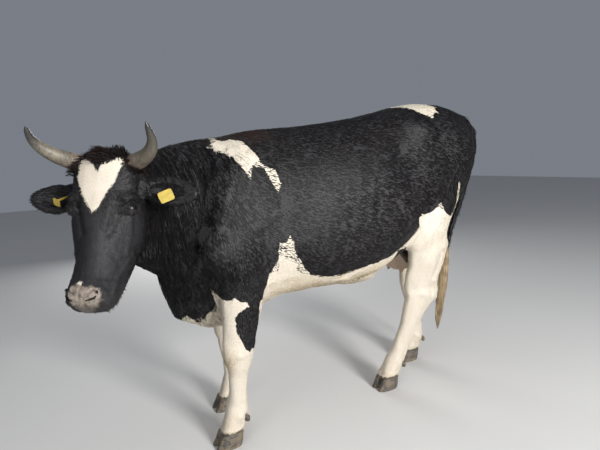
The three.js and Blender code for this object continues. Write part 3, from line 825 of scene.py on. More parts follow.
@dataclass(frozen=True)
class Limb:
    """A leg as the skin shows it, which places the forms of its joints and tendons."""

    name: str
    points: Points

    def section(self, height: float) -> tuple[Points, Points]:
        """The lowest and highest X and Y of the leg at a height."""
        ring = self.points[np.abs(self.points[:, 2] - height) < 0.007]
        return ring[:, :2].min(0), ring[:, :2].max(0)

    def at(self, height: float, back: float, across: float) -> Place:
        """A place on the leg's skin, from -1 in front to 1 behind, and from -1 left to 1 right.

        Args:
            height: how high it is.
            back: its place along the leg's depth.
            across: its place over the leg's width.

        Returns:
            The place.
        """
        low, high = self.section(height)
        middle, half = (low + high) / 2, (high - low) / 2
        return (middle[0] + back * half[0], middle[1] + across * half[1], height)

    def forms(self) -> tuple[Form, ...]:
        """The joints, tendons and muscles of this leg, in the cow's own frame.

        Returns:
            The forms.
        """
        made = []

        def add(width: float, height: float, *places: Place) -> None:
            """Adds the form along places that `at` is given."""
            made.append(Form(tuple(self.at(*place) for place in places), width, height, False))

        for across in (-1, 1):
            add(0.006, -0.004, (0.31, 0.42, across), (0.24, 0.42, across), (0.17, 0.4, across))
            add(0.018, 0.0035, (0.124, 0.1, across))
            add(0.013, -0.003, (0.085, 0.2, across))
        add(0.02, -0.004, (0.088, -1, 0))
        add(0.016, 0.004, (0.118, 1, 0))
        if self.name.startswith("fore"):
            add(0.024, 0.005, (0.435, -1, 0), (0.375, -1, 0))
            add(0.016, 0.008, (0.425, 1, 0.2))
            add(0.012, -0.0035, (0.335, -1, 0))
            for across in (-1, 1):
                add(0.016, 0.004, (0.395, -0.2, across))
                add(0.045, 0.005, (0.59, 0, across))
                add(0.012, -0.004, (0.56, 0.45, across), (0.47, 0.5, across))
            return tuple(made)
        add(0.02, 0.008, (0.47, 1, 0))
        add(0.018, -0.005, (0.455, -1, 0))
        for across in (-1, 1):
            add(0.018, -0.011, (0.66, 0.55, across), (0.6, 0.52, across), (0.545, 0.45, across))
            add(0.018, 0.005, (0.47, -0.25, across))
            add(0.014, -0.0045, (0.495, 0.35, across), (0.43, 0.35, across))
            add(0.04, 0.006, (0.65, -0.3, across))
        return tuple(made)


# ---- the eyes


# The folds of the lids: height, distance from the rim, width and lid.
FOLDS = (
    (-0.0030, 0.0052, 0.0016, "upper"),
    (0.0026, 0.0092, 0.0024, "upper"),
    (-0.0022, 0.0140, 0.0020, "upper"),
    (-0.0020, 0.0055, 0.0015, "lower"),
    (0.0012, 0.0085, 0.0018, "lower"),
    (-0.0016, 0.0120, 0.0020, "lower"),
)


@dataclass
class Eye:
    """An eyeball and its lids, in a frame along the lids, up across them, and out through the pupil."""

    side: int
    radius: float = 0.0232
    half_length: float = 0.0198
    upper: float = 0.0108
    lower: float = 0.0086
    inward: float = 0.0026
    sunk: float = 0.0028
    reach: float = 0.04
    around: int = 88
    clear: float = 0.09
    out: Place = (0.4, 0.91, 0.1)
    along: Place = (-0.042, 0.026, 0.029)
    centre: np.ndarray = field(init=False)
    axes: np.ndarray = field(init=False)

    def __post_init__(self) -> None:
        """Finds the eye's place from its node."""
        self.centre = node_box(f"eye_{side_name(self.side)}").mean(axis=0)
        turn = np.array((1, self.side, 1))
        out = STANCE.head_way(unit(np.array(self.out) * turn))
        along = STANCE.head_way(np.array(self.along) * turn)
        along = unit(along - (along @ out) * out)
        over = np.cross(out, along)
        self.axes = np.array([along, over * np.sign(over @ STANCE.axes[2]), out])
        self.centre = self.centre - self.sunk * out

    def flat(self, points: Points) -> Points:
        """Points' places along and across the lids."""
        return ((points - self.centre) @ self.axes.T)[:, :2]

    def rim(self, turn: Points) -> Points:
        """The edge of the opening: an almond, with its corners drawn out.

        Args:
            turn: n angles round the opening.

        Returns:
            n places along and across the lids.
        """
        across = np.where(np.sin(turn) > 0, self.upper, self.lower)
        over = across * np.sin(turn) * np.abs(np.sin(turn)) ** 0.25
        return np.stack([self.half_length * np.cos(turn) - self.inward, over], axis=1)

    def lids(self, skin: BVHTree) -> tuple[Points, np.ndarray, Points, Points]:
        """The lids from inside their rims out to where they meet the skin.

        Args:
            skin: the skin that they meet.

        Returns:
            Their points and faces, and how bald and how wet each point is.
        """
        turn = np.arange(self.around) / self.around * math.tau
        rim = self.rim(turn)
        far = np.linalg.norm(rim, axis=1)
        way = rim / far[:, None]
        rows, bald, wet = [], [], []
        for scale, lift in ((0.9, -0.0014), (0.955, -0.0002), (0.97, 0.001), (1.02, 0.0021)):
            flat = rim * scale
            rows.append((flat, np.sqrt((self.radius + lift) ** 2 - np.sum(flat**2, axis=1))))
            bald.append(1.0)
            wet.append(1.0)
        steps = 26
        over = np.sin(turn)
        upper, lower = ease(0.0, 0.5, over), ease(0.0, -0.5, over)
        for k in range(1, steps + 1):
            t = (k / steps) ** 1.25
            beyond = (self.reach - far) * t
            flat = way * (far * 1.02 + (self.reach - far * 1.02) * t)[:, None]
            ball = np.sqrt(np.maximum((self.radius + 0.0026) ** 2 - np.sum(flat**2, axis=1), 0.000009))
            starts = self.centre + flat @ self.axes[:2] + self.clear * self.axes[2]
            met = []
            for start in starts.tolist():
                hit = skin.ray_cast(start, (-self.axes[2]).tolist(), 0.2)[0]
                met.append(self.clear - (Vector(start) - hit).length if hit else 0.0)
            flesh = np.array(met) - 0.0007
            share = ease(0.0, 1.0, np.clip((beyond - 0.001) / (self.reach - far - 0.001) * 1.25, 0, 1))
            height = ball * (1 - share) + flesh * share
            fade = ease(0.0, 0.25, 1 - t)
            folds = np.zeros(self.around)
            for height_there, middle, width, lid in FOLDS:
                folds += height_there * bell(beyond, middle, width) * (upper if lid == "upper" else lower)
            tear = bell(turn, math.pi * 1.1, 0.22)
            folds -= 0.0036 * tear * bell(beyond, 0.01, 0.01)
            rows.append((flat, height + folds * fade))
            bald.append(1.0 if k < 3 else 0.0)
            wet.append(0.5 if k < 2 else 0.0)
        points = np.concatenate(
            [self.centre + flat @ self.axes[:2] + height[:, None] * self.axes[2] for flat, height in rows]
        )
        faces = []
        flipped = np.dot(np.cross(self.axes[0], self.axes[1]), self.axes[2]) < 0
        for row in range(len(rows) - 1):
            for k in range(self.around):
                a, b = row * self.around + k, row * self.around + (k + 1) % self.around
                c, d = b + self.around, a + self.around
                faces += [(a, c, b), (a, d, c)] if not flipped else [(a, b, c), (a, c, d)]
        return points, np.array(faces), np.repeat(bald, self.around), np.repeat(wet, self.around)

    def ball(self, finish: bpy.types.Material) -> bpy.types.Object:
        """The eyeball, whose clear front bulges.

        Args:
            finish: the piece's material.

        Returns:
            The eyeball.
        """
        rings, around = 24, 48
        tilt = np.arange(1, rings) / rings * math.pi
        turn = np.arange(around) / around * math.tau
        tilts, turns = (grid.ravel() for grid in np.meshgrid(tilt, turn, indexing="ij"))
        tilts = np.concatenate([tilts, [0, math.pi]])
        turns = np.concatenate([turns, [0, 0]])
        size = self.radius * (1 + 0.055 * np.exp(-((tilts / 0.62) ** 4)))
        local = np.stack(
            [np.sin(tilts) * np.cos(turns), np.sin(tilts) * np.sin(turns), np.cos(tilts)], axis=1
        )
        local *= size[:, None]
        faces, ends = [], []
        front, back = len(tilts) - 2, len(tilts) - 1
        last = (rings - 2) * around
        for k in range(around):
            after = (k + 1) % around
            faces += [(r * around + k, (r + 1) * around + k, (r + 1) * around + after, r * around + after)
                      for r in range(rings - 2)]  # fmt: skip
            ends += [(front, k, after), (last + k, back, last + after)]
        walls, caps = np.array(faces), np.array(ends)
        if np.dot(np.cross(self.axes[0], self.axes[1]), self.axes[2]) < 0:
            walls, caps = walls[:, ::-1], caps[:, ::-1]
        values = {"across": local[:, 0] / self.radius, "over": local[:, 1] / self.radius}
        values["front"] = np.cos(tilts)
        name = f"eyeball_{side_name(self.side)}"
        return make_object(name, self.centre + local @ self.axes, [walls, caps], finish, values)


# ---- the skin


@dataclass
class Hide:
    """The one skin over trunk, neck, head, ears, legs and tail, with its forms shaped into it."""

    voxel: float = 0.005 if FINE else 0.009
    overlap: float = 0.0012
    rounds: int = 110 if FINE else 36
    body_share: float = 0.22 if FINE else 0.5
    limb_weight: float = 0.3
    tree: BVHTree | None = None
    shape: Surface | None = None
    regions: np.ndarray | None = None
    bald: Points | None = None
    hollow: Points | None = None
    wet: Points | None = None

    def build(self) -> None:
        """Makes the skin's shape: joined, softened, given its forms and drawn in by the coat's depth."""
        self.shape = self.joined()
        self.tree, owners = self.node_tree()
        self.regions = self.owned(self.shape.points, owners)
        growth = self.field_of("soften")
        strength = np.clip(2 * growth**2 / (self.rounds * self.voxel**2), 0, 0.95)
        whole = self.shape.points
        soft = self.shape.soften(whole, strength, self.rounds)
        soft = soft + self.shape.soften(whole - soft, strength, self.rounds)
        self.shape.points = soft
        self.press(BODY_FORMS + RIBS + NECK_FORMS + self.leg_forms(), self.body_part())
        self.thinned()
        self.regions = self.owned(self.shape.points, owners)
        self.refine(self.face_part(0.36))
        self.refine(self.muzzle_part(-0.395))
        self.refine(self.muzzle_part(-0.43))
        self.press(FACE_FORMS, self.face_part(0.5))
        self.mouth()
        self.regions = self.owned(self.shape.points, owners)
        depth = self.field_of("depth")
        depth *= 1 - ease(-0.004, 0.004, bareness(self.shape.points, self.regions))
        self.shape.points = self.shape.points - self.shape.normals() * depth[:, None]
        self.bald = np.maximum(ease(-0.001, 0.002, bareness(self.shape.points, self.regions)), self.hollow)
        self.wet = np.zeros(len(self.bald))
        for side in (1, -1):
            self.add_lids(Eye(side))

    def add_lids(self, eye: "Eye") -> None:
        """Sets the lids of one eye into the skin, which sinks away under them.

        Args:
            eye: the eye.
        """
        skin = self.skin_tree()
        far = np.linalg.norm(eye.flat(self.shape.points), axis=1)
        near = np.linalg.norm(self.shape.points - eye.centre, axis=1) < 0.065
        sink = near * ease(eye.reach - 0.001, eye.reach - 0.008, far) * 0.012
        self.shape.points = self.shape.points - sink[:, None] * eye.axes[2]
        points, faces, bald, wet = eye.lids(skin)
        start = len(self.shape.points)
        hidden = near * ease(eye.reach + 0.001, eye.reach - 0.001, far)
        self.bald = np.concatenate([np.maximum(self.bald, hidden), bald])
        self.wet = np.concatenate([self.wet, wet])
        self.hollow = np.concatenate([self.hollow, np.zeros(len(points))])
        self.regions = np.concatenate([self.regions, np.full(len(points), Region.HEAD)])
        points = np.vstack([self.shape.points, points])
        self.shape = Surface(points, np.vstack([self.shape.faces, faces + start]))

    def skin_tree(self) -> BVHTree:
        """A search tree over the skin as it is now."""
        return BVHTree.FromPolygons(self.shape.points.tolist(), self.shape.faces.tolist())

    def joined(self) -> Surface:
        """The flesh nodes as one closed surface of even faces.

        Returns:
            The surface.
        """
        mesh = bpy.data.meshes.new("flesh")
        whole = bmesh.new()
        for node in FLESH + [f"eye_{side}" for side in SIDES]:
            part = bmesh.new()
            part.from_mesh(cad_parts[node].data)
            bmesh.ops.remove_doubles(part, verts=part.verts, dist=1e-5)
            part.normal_update()
            for vertex in part.verts:
                vertex.co += vertex.normal * self.overlap
            part.to_mesh(mesh)
            part.free()
            whole.from_mesh(mesh)
        whole.to_mesh(mesh)
        whole.free()
        return self.largest(even_shape(mesh, self.voxel))

    @staticmethod
    def largest(shape: Surface) -> Surface:
        """The largest of the separate shells.

        Args:
            shape: a surface of one or more shells.

        Returns:
            The shell with the most points.
        """
        label = np.arange(len(shape.points))
        while True:
            lowest = np.minimum(label, np.minimum.reduceat(label[shape.near], shape.first))
            lowest = lowest[lowest]
            if (lowest == label).all():
                break
            label = lowest
        main = np.bincount(label).argmax()
        kept = label == main
        number = np.cumsum(kept) - 1
        return Surface(shape.points[kept], number[shape.faces[kept[shape.faces[:, 0]]]])

    @staticmethod
    def node_tree() -> tuple[BVHTree, np.ndarray]:
        """A search tree over the flesh nodes, and the region of each of its faces.

        Returns:
            The tree and the regions' numbers.
        """
        places, faces, owners = [], [], []
        for node in FLESH:
            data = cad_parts[node].data
            start = len(places)
            places += [tuple(vertex.co) for vertex in data.vertices]
            faces += [tuple(start + i for i in face.vertices) for face in data.polygons]
            owners += [region_of(node)] * len(data.polygons)
        return BVHTree.FromPolygons(places, faces), np.array(owners)

    def owned(self, points: Points, owners: np.ndarray) -> np.ndarray:
        """The region whose node is nearest to each point."""
        return owners[[self.tree.find_nearest(point)[2] for point in points.tolist()]]

    def field_of(self, name: str, blend: float = 0.02) -> Points:
        """A growth's number over the skin, blended across the borders of the regions.

        Args:
            name: the growth's field.
            blend: how wide the blend is, in metres.

        Returns:
            One number for each point.
        """
        table = np.array([getattr(GROWTH[region], name) for region in Region])
        rounds = 40
        edge = 0.006
        return self.shape.soften(table[self.regions], min(0.9, 2 * blend**2 / (rounds * edge**2)), rounds)

    def body_part(self) -> np.ndarray:
        """Which points aren't on the head."""
        return ~among(self.regions, *FACE_REGIONS)

    def face_part(self, reach: float) -> np.ndarray:
        """Which points are on the head, within a distance of its middle.

        Args:
            reach: the distance in metres.

        Returns:
            Whether each point is.
        """
        local = STANCE.on_head(self.shape.points)
        head = among(self.regions, *FACE_REGIONS)
        return head & (np.linalg.norm(local - (-0.06, 0, -0.26), axis=1) < reach)

    def muzzle_part(self, below: float) -> np.ndarray:
        """Which points are on the muzzle or the mouth, below a height of the head's frame."""
        return self.face_part(0.4) & (STANCE.on_head(self.shape.points)[:, 2] < below)

    def leg_forms(self) -> tuple[Form, ...]:
        """The joints and tendons of the four legs.

        Returns:
            Their forms.
        """
        own = STANCE.own(self.shape.points)
        shank = among(self.regions, *LIMB_REGIONS)
        forms = []
        for leg in LEGS:
            low = node_box(f"{leg}_shank")[0] - 0.03
            high = node_box(f"{leg}_leg")[1] + 0.03
            wide = node_box(f"{leg}_shank")[1] + 0.03
            place = self.shape.points
            side = np.sign(low[1] + high[1])
            there = shank & (place[:, 0] > low[0] - 0.05) & (place[:, 0] < max(high[0], wide[0]))
            there &= (place[:, 1] * side > 0) & (place[:, 2] < high[2])
            forms += Limb(leg, own[there]).forms()
        return tuple(forms)

    def press(self, forms: tuple[Form, ...], where: np.ndarray) -> None:
        """Raises or sinks part of the skin by the forms, along its normals.

        Args:
            forms: the ridges and grooves.
            where: which points they may move.
        """
        on_head = forms is FACE_FORMS
        places = STANCE.on_head(self.shape.points) if on_head else STANCE.own(self.shape.points)
        rise = np.zeros(len(places))
        rise[where] = raised(places[where], forms)
        if not on_head:
            low = ease(0.8, 0.55, places[:, 2]) * ease(-0.35, -0.2, places[:, 0])
            rise += where * low * 0.0012 * wavy(places, 0.09, 3)
        self.shape.points = self.shape.points + self.shape.normals() * rise[:, None]

    def thinned(self) -> None:
        """Joins faces where the body is broad, and keeps them small on head, ears and feet."""
        fine = among(self.regions, Region.TRUNK, Region.NECK, Region.UDDER)
        made = make_object("thinned", self.shape.points, self.shape.faces)
        group = made.vertex_groups.new(name="broad")
        group.add(np.flatnonzero(fine).tolist(), 1.0, "REPLACE")
        legs = among(self.regions, Region.LEG, Region.SHANK, Region.TAIL)
        group.add(np.flatnonzero(legs).tolist(), self.limb_weight, "REPLACE")
        cut = made.modifiers.new("decimate", "DECIMATE")
        cut.ratio = self.body_share
        cut.vertex_group = "broad"
        cut.vertex_group_factor = 1.0
        cut.use_collapse_triangulate = True
        self.shape = shape_of(made)

    def refine(self, where: np.ndarray) -> None:
        """Halves the edges between the named points, and rounds what the split leaves flat.

        Args:
            where: which points are named.
        """
        if not FINE:
            return
        mesh = bpy.data.meshes.new("refined")
        mesh.from_pydata(self.shape.points.tolist(), [], self.shape.faces.tolist())
        work = bmesh.new()
        work.from_mesh(mesh)
        work.verts.ensure_lookup_table()
        edges = [edge for edge in work.edges if where[edge.verts[0].index] and where[edge.verts[1].index]]
        before = len(work.verts)
        bmesh.ops.subdivide_edges(work, edges=edges, cuts=1, use_grid_fill=True, smooth=0.0)
        bmesh.ops.triangulate(work, faces=work.faces)
        work.to_mesh(mesh)
        work.free()
        self.shape = Surface.of(mesh)
        bpy.data.meshes.remove(mesh)
        fresh = np.zeros(len(self.shape.points))
        fresh[:before][where] = 1
        fresh[before:] = 1
        self.shape.points = self.shape.soften(self.shape.points, fresh * 0.5, 3)
        self.regions = self.owned(self.shape.points, self.node_tree()[1])

    def mouth(self) -> None:
        """Cuts the mouth's line and the nostrils into the muzzle, and notes the painted shade that darkens
        them inside.
        """
        local = STANCE.on_head(self.shape.points)
        near = self.face_part(0.4) & (local[:, 2] < -0.38)
        x, y, z = local[near].T
        plane = 0.83 * (x + 0.062) + 0.56 * (z + 0.478)
        back = ease(-0.398, -0.425, z)
        line = -0.007 * back * bell(plane, 0, 0.0034)
        lip = 0.003 * back * bell(plane, 0.011, 0.007)
        lip += 0.0035 * back * bell(plane, -0.01, 0.007)
        pebbles = 0.0006 * wavy(local[near], 0.006, 21) * ease(-0.002, 0.006, NOSE_PAD.reach(local[near]))
        way = self.shape.normals()
        moved = self.shape.points.copy()
        moved[near] += way[near] * (line + lip + pebbles)[:, None]
        # Painted shade: the mouth's line and the nostrils are darkened where they sink in.
        dark = back * bell(plane, 0, 0.0026)
        nostril = Nostril()
        for side in (1, -1):
            flat = np.stack([y if side > 0 else 2 * nostril.middle - y, z], axis=1)
            front = ease(-0.055, -0.035, x)
            slit, hole = nostril.cut(flat)
            rim = nostril.rim(flat)
            inward = STANCE.head_way(np.array((-0.8, 0.2 * side, 0.42)))
            moved[near] += (front * hole)[:, None] * inward + (front * rim)[:, None] * way[near]
            dark = np.maximum(dark, front * slit)
        self.shape.points = moved
        self.hollow = np.zeros(len(moved))
        self.hollow[near] = dark


@dataclass(frozen=True)
class Nostril:
    """A nostril as a slit that curls up into a round hole, across the face: outward and up."""

    path: FlatLine = ((0.007, -0.4735), (0.02, -0.4695), (0.032, -0.4645), (0.0365, -0.459))
    half: tuple[float, ...] = (0.0014, 0.0026, 0.0028, 0.0014)
    depth: tuple[float, ...] = (0.003, 0.01, 0.012, 0.006)
    hole: tuple[float, float] = (0.0365, -0.4475)
    hole_half: float = 0.0052
    hole_depth: float = 0.022
    middle: float = -0.014
    wing: FlatLine = ((0.006, -0.464), (0.019, -0.4595), (0.029, -0.452), (0.033, -0.443))
    under: FlatLine = ((0.012, -0.484), (0.03, -0.48), (0.046, -0.468), (0.052, -0.446))
    crease: FlatLine = ((0.002, -0.454), (0.016, -0.449), (0.026, -0.44))

    def cut(self, flat: Points) -> tuple[Points, Points]:
        """How far inside the nostril each place is, from 0 to 1, and how deep it sinks there.

        Args:
            flat: n places across the face.

        Returns:
            n shares and n depths.
        """
        far, along = to_line(flat, np.array(self.path))
        steps = range(len(self.path))
        share = far / np.interp(along, steps, self.half)
        round_share = np.linalg.norm(flat - self.hole, axis=1) / self.hole_half
        within = np.maximum(ease(1.25, 0.85, share), ease(1.2, 0.85, round_share))
        sunk = np.interp(along, steps, self.depth) * ease(1.35, 0.55, share)
        return within, np.maximum(sunk, self.hole_depth * ease(1.3, 0.6, round_share))

    def rim(self, flat: Points) -> Points:
        """How far the wing above the nostril and the lip's edge below it stand out.

        Args:
            flat: n places across the face.

        Returns:
            n heights in metres.
        """
        found = np.zeros(len(flat))
        for line, width, height in ((self.wing, 0.004, 0.0036), (self.under, 0.005, 0.003),
                                    (self.crease, 0.0034, -0.002)):  # fmt: skip
            far, _ = to_line(flat, np.array(line))
            found += height * bell(far, 0, width)
        return found


# ---- hair


def lie(points: Points, regions: np.ndarray, normals: Points) -> Points:
    """The direction that the hair lies in at points of the skin, along its surface.

    Args:
        points: n places on the skin in the row frame.
        regions: the region's number of each.
        normals: the outward direction at each.

    Returns:
        n unit directions at right angles to the normals.
    """
    own = STANCE.own(points)
    way = np.tile((1.0, 0.0, -0.32), (len(points), 1))

    def turn(share: Points, direction: Place) -> None:
        """Turns the ways by a share towards a direction."""
        way[:] = way * (1 - share[:, None]) + np.array(direction) * share[:, None]

    x, y, z = own.T
    turn(ease(0.9, 1.15, x) * ease(1.25, 0.95, z), (0.3, 0.0, -1.0))
    turn(ease(0.24, 0.02, x), (0.5, 0.0, -0.85))
    turn(ease(0.02, -0.16, x), (0.42, -0.05, -1.0))
    turn(ease(0.62, 0.5, z) * ease(0.05, 0.3, x) * ease(0.95, 0.8, x), (1.0, 0.0, 0.0))
    limbs = among(regions, *LIMB_REGIONS).astype(float)
    turn(limbs * ease(0.74, 0.62, z), (0.16, 0.0, -1.0))
    turn((regions == Region.TAIL).astype(float) * ease(1.38, 1.28, z), (0.05, 0.0, -1.0))
    turn((regions == Region.UDDER).astype(float), (0.2, 0.0, -1.0))
    local = STANCE.on_head(points)
    a, b, c = local.T
    head = among(regions, *FACE_REGIONS)
    upper = ease(-0.15, -0.09, c)[:, None]
    side = np.sign(b) * ease(0.0, 0.03, np.abs(b))
    brow = np.stack([0.1 + 0 * a, 0.55 * side, 0.8 + 0 * a], axis=1)
    nose = np.stack([-0.2 + 0 * a, 0.45 * side * ease(-0.36, -0.2, c), -1.0 + 0 * a], axis=1)
    cheek = ease(-0.03, -0.1, a)[:, None]
    nose = nose * (1 - cheek) + np.array((-0.75, 0.0, -0.55)) * cheek
    face = brow * upper + nose * (1 - upper)
    way[head] = STANCE.head_way(face[head])
    ears = regions == Region.EAR
    out = np.stack([0 * a, np.sign(b), -0.12 + 0 * a], axis=1)
    way[ears] = STANCE.head_way(out[ears])
    swirl = 0.12 * wavy(own, 0.19, 31) + 0.06 * wavy(own, 0.06, 32)
    way += swirl[:, None] * np.cross(normals, unit(way))
    way -= np.sum(way * normals, axis=1)[:, None] * normals
    return unit(way)


@dataclass(frozen=True)
class Roots:
    """Places on the skin that hair grows from, with what the skin is like there."""

    points: Points
    normals: Points
    ways: Points
    regions: np.ndarray
    values: dict[str, Points]

    def only(self, kept: np.ndarray) -> "Roots":
        """The named ones among them."""
        values = {key: value[kept] for key, value in self.values.items()}
        return Roots(self.points[kept], self.normals[kept], self.ways[kept], self.regions[kept], values)

    @classmethod
    def over(cls, hide: Hide, density: Points, seed: int) -> "Roots":
        """Scatters roots over the skin.

        Args:
            hide: the skin.
            density: how many per square metre, for each of its points.
            seed: what the scatter starts from.

        Returns:
            The roots.
        """
        draw = np.random.default_rng(seed)
        shape = hide.shape
        corner = shape.points[shape.faces]
        cross = np.cross(corner[:, 1] - corner[:, 0], corner[:, 2] - corner[:, 0])
        area = np.linalg.norm(cross, axis=1) / 2
        total = np.cumsum(area * density[shape.faces].mean(axis=1))
        count = int(total[-1])
        spot = (np.arange(count) + draw.random(count)) / count * total[-1]
        face = shape.faces[np.minimum(np.searchsorted(total, spot), len(total) - 1)]
        u, v = draw.random((2, count))
        over = u + v > 1
        u[over], v[over] = 1 - u[over], 1 - v[over]
        share = np.stack([1 - u - v, u, v], axis=1)[:, :, None]
        points = np.sum(shape.points[face] * share, axis=1)
        normals = unit(np.sum(shape.normals()[face] * share, axis=1))
        regions = hide.regions[face[:, 0]]
        values = {}
        for name in ("length", "width", "lift"):
            values[name] = np.sum(hide.field_of(name)[face] * share[:, :, 0], axis=1)
        return cls(points, normals, lie(points, regions, normals), regions, values)


@dataclass(frozen=True)
class Wrap:
    """A cylinder that a piece of coat is unrolled from, onto its baking map."""

    start: Place
    end: Place
    span: float = 0.99
    edge: float = 0.003

    @classmethod
    def along(cls, start: Place, end: Place) -> "Wrap":
        """The cylinder between two places of the cow's own frame."""
        return cls(tuple(STANCE.place(np.array(start))), tuple(STANCE.place(np.array(end))))

    def __call__(self, points: Points) -> Points:
        """Each point's place on the unrolled map, from 0 to 1.

        Args:
            points: n places in the row frame.

        Returns:
            n places on the map.
        """
        axis = np.array(self.end) - self.start
        length = np.linalg.norm(axis)
        axis = axis / length
        side = unit(np.cross(axis, (0.3, 0.2, 1.0) if abs(axis[2]) < 0.8 else (1.0, 0.3, 0.1)))
        from_start = points - np.array(self.start)
        along = from_start @ axis / length
        angle = np.arctan2(from_start @ np.cross(axis, side), from_start @ side) / math.tau + 0.5
        return np.clip(np.stack([angle, along], axis=1), 0, 1) * self.span + self.edge


@dataclass
class Tufts:
    """Short hair as flat solid wisps of a few faces that lie over the skin."""

    seed: int = 7
    root_depth: float = 0.0012
    sideways: float = 0.16
    marked: tuple[float, float] = (0.25, 0.92)

    RING = np.array([(0, 3, 1), (0, 2, 3), (1, 3, 4), (3, 2, 4), (0, 1, 2), (1, 4, 2)])

    def shape(self, roots: Roots) -> tuple[Points, np.ndarray, Points]:
        """The wisps' points and faces, and the directions that their surfaces are shaded by.

        Args:
            roots: where the wisps grow.

        Returns:
            n points, their faces and n directions.
        """
        draw = np.random.default_rng(self.seed)
        count = len(roots.points)

        def vary(low: float, high: float) -> Points:
            """A draw between two numbers for each wisp."""
            return draw.uniform(low, high, (count, 1))

        up, way = roots.normals, roots.ways
        bent = unit(way + self.sideways * draw.normal(size=(count, 1)) * np.cross(way, up))
        across = np.cross(bent, up)
        length = roots.values["length"][:, None] * vary(0.7, 1.3)
        width = roots.values["width"][:, None] * vary(0.75, 1.25)
        rise = roots.values["lift"][:, None] * vary(0.5, 1.5)
        sway = draw.normal(size=(count, 1)) * 0.1 * length
        foot = roots.points - self.root_depth * up
        middle = roots.points + bent * length * 0.38 + up * (length * 0.38 * rise + width * 0.1)
        tip = roots.points + bent * length + across * sway + up * length * rise * 0.85
        corners = [
            foot,
            middle - across * width * 0.5,
            middle + across * width * 0.5,
            middle + up * width * 0.22,
            tip,
        ]
        lean = [(0.0, 0.1), (-0.45, 0.0), (0.45, 0.0), (0.0, 0.0), (0.0, 0.12)]
        shaded = [unit(up + across * aside + bent * ahead) for aside, ahead in lean]
        points = np.stack(corners, axis=1).reshape(-1, 3)
        faces = (np.arange(count)[:, None, None] * 5 + self.RING).reshape(-1, 3)
        return points, faces, np.stack(shaded, axis=1).reshape(-1, 3)

    def grow(self, name: str, roots: Roots, wrap: Wrap, finish: bpy.types.Material) -> bpy.types.Object:
        """Makes one piece of the coat.

        Args:
            name: the piece's name.
            roots: where its wisps grow.
            wrap: what it is unrolled from.
            finish: its material.

        Returns:
            The new object.
        """
        draw = np.random.default_rng(self.seed + 1)
        points, faces, shaded = self.shape(roots)
        count = len(roots.points)
        bases = np.repeat(roots.points, 5, axis=0)
        on_head = among(np.repeat(roots.regions, 5), Region.HEAD, Region.MUZZLE)
        places = bases + np.where(on_head, *self.marked)[:, None] * (points - bases)
        values = {
            "white": whiteness(places, np.repeat(roots.regions, 5)),
            "stain": np.repeat(stains_and_shade(roots.points), 5),
            "tone": np.repeat(draw.random(count), 5),
            "rust": np.repeat(rusting(roots.points), 5),
            "grey": np.repeat(greyed_by_dust_and_sheen(roots.points), 5),
            "along": np.tile((0, 0.4, 0.4, 0.4, 1), count),
        }
        made = make_object(name, points, faces, finish, values)
        made.data.normals_split_custom_set_from_vertices(shaded.tolist())
        spread = np.array([(0.0, -0.5), (-0.5, 0), (0.5, 0), (0, 0), (0, 0.5)]) * WISP_PATCH
        place = (wrap(roots.points)[:, None] + spread).reshape(-1, 2)
        unroll(made.data, place, faces.ravel())
        return made


@dataclass
class Locks:
    """Long hair as three-sided wisps that follow given paths."""

    flat: float = 0.45

    def shape(self, paths: Points, radii: Points) -> tuple[Points, list[np.ndarray]]:
        """The wisps' points and faces, closed at both ends.

        Args:
            paths: for each of n wisps, k places from its root to its tip.
            radii: for each of them, k - 1 half widths, for all places but the tip.

        Returns:
            The points, and the arrays of four-cornered and of three-cornered faces.
        """
        count, steps = paths.shape[:2]
        way = unit(np.gradient(paths, axis=1))
        side = unit(np.cross(way, (0.31, 0.22, 0.93)))
        over = np.cross(way, side)
        turns = np.radians((90, 210, 330))
        ring = [
            paths[:, :-1] + radii[..., None] * (side * math.cos(t) + self.flat * over * math.sin(t))[:, :-1]
            for t in turns
        ]
        body = np.stack(ring, axis=2).reshape(count, -1, 3)
        points = np.concatenate([body, paths[:, -1:]], axis=1).reshape(-1, 3)
        size = (steps - 1) * 3 + 1
        walls = []
        for level in range(steps - 2):
            for k in range(3):
                here, there = level * 3 + k, level * 3 + (k + 1) % 3
                walls.append((here, there, there + 3, here + 3))
        last = (steps - 2) * 3
        ends = [(0, 2, 1)] + [(last + k, last + (k + 1) % 3, size - 1) for k in range(3)]
        start = np.arange(count)[:, None, None] * size
        return points, [(start + np.array(walls)).reshape(-1, 4), (start + np.array(ends)).reshape(-1, 3)]

    def grow(
        self,
        name: str,
        paths: Points,
        radii: Points,
        regions: np.ndarray,
        wrap: Wrap,
        finish: bpy.types.Material,
    ) -> bpy.types.Object:
        """Makes one piece of long hair, marked and unrolled as its roots are.

        Args:
            name: the piece's name.
            paths: each wisp's places from root to tip.
            radii: their half widths.
            regions: the region that each grows in.
            wrap: what it is unrolled from.
            finish: the piece's material.

        Returns:
            The new object.
        """
        draw = np.random.default_rng(len(paths))
        points, faces = self.shape(paths, radii)
        count, steps = paths.shape[:2]
        size = (steps - 1) * 3 + 1
        roots = paths[:, 0]
        along = np.append(np.repeat(np.linspace(0, 1, steps)[:-1], 3), 1)
        on_head = among(regions, Region.HEAD, Region.EAR)
        bases = np.repeat(roots, size, axis=0)
        white = whiteness(bases + 0.5 * (points - bases), np.repeat(regions, size))
        values = {
            "white": np.where(np.repeat(on_head, size), OUTSIDE, white),
            "stain": np.repeat(stains_and_shade(roots), size),
            "rust": np.repeat(rusting(roots), size),
            "tone": np.repeat(draw.random(count), size),
            "along": np.tile(along, count),
        }
        made = make_object(name, points, faces, finish, values)
        spread = np.stack([np.zeros(size), along * WISP_PATCH], axis=1)
        place = (wrap(roots)[:, None] + spread).reshape(-1, 2)
        unroll(made.data, place, np.concatenate([group.ravel() for group in faces]))
        return made


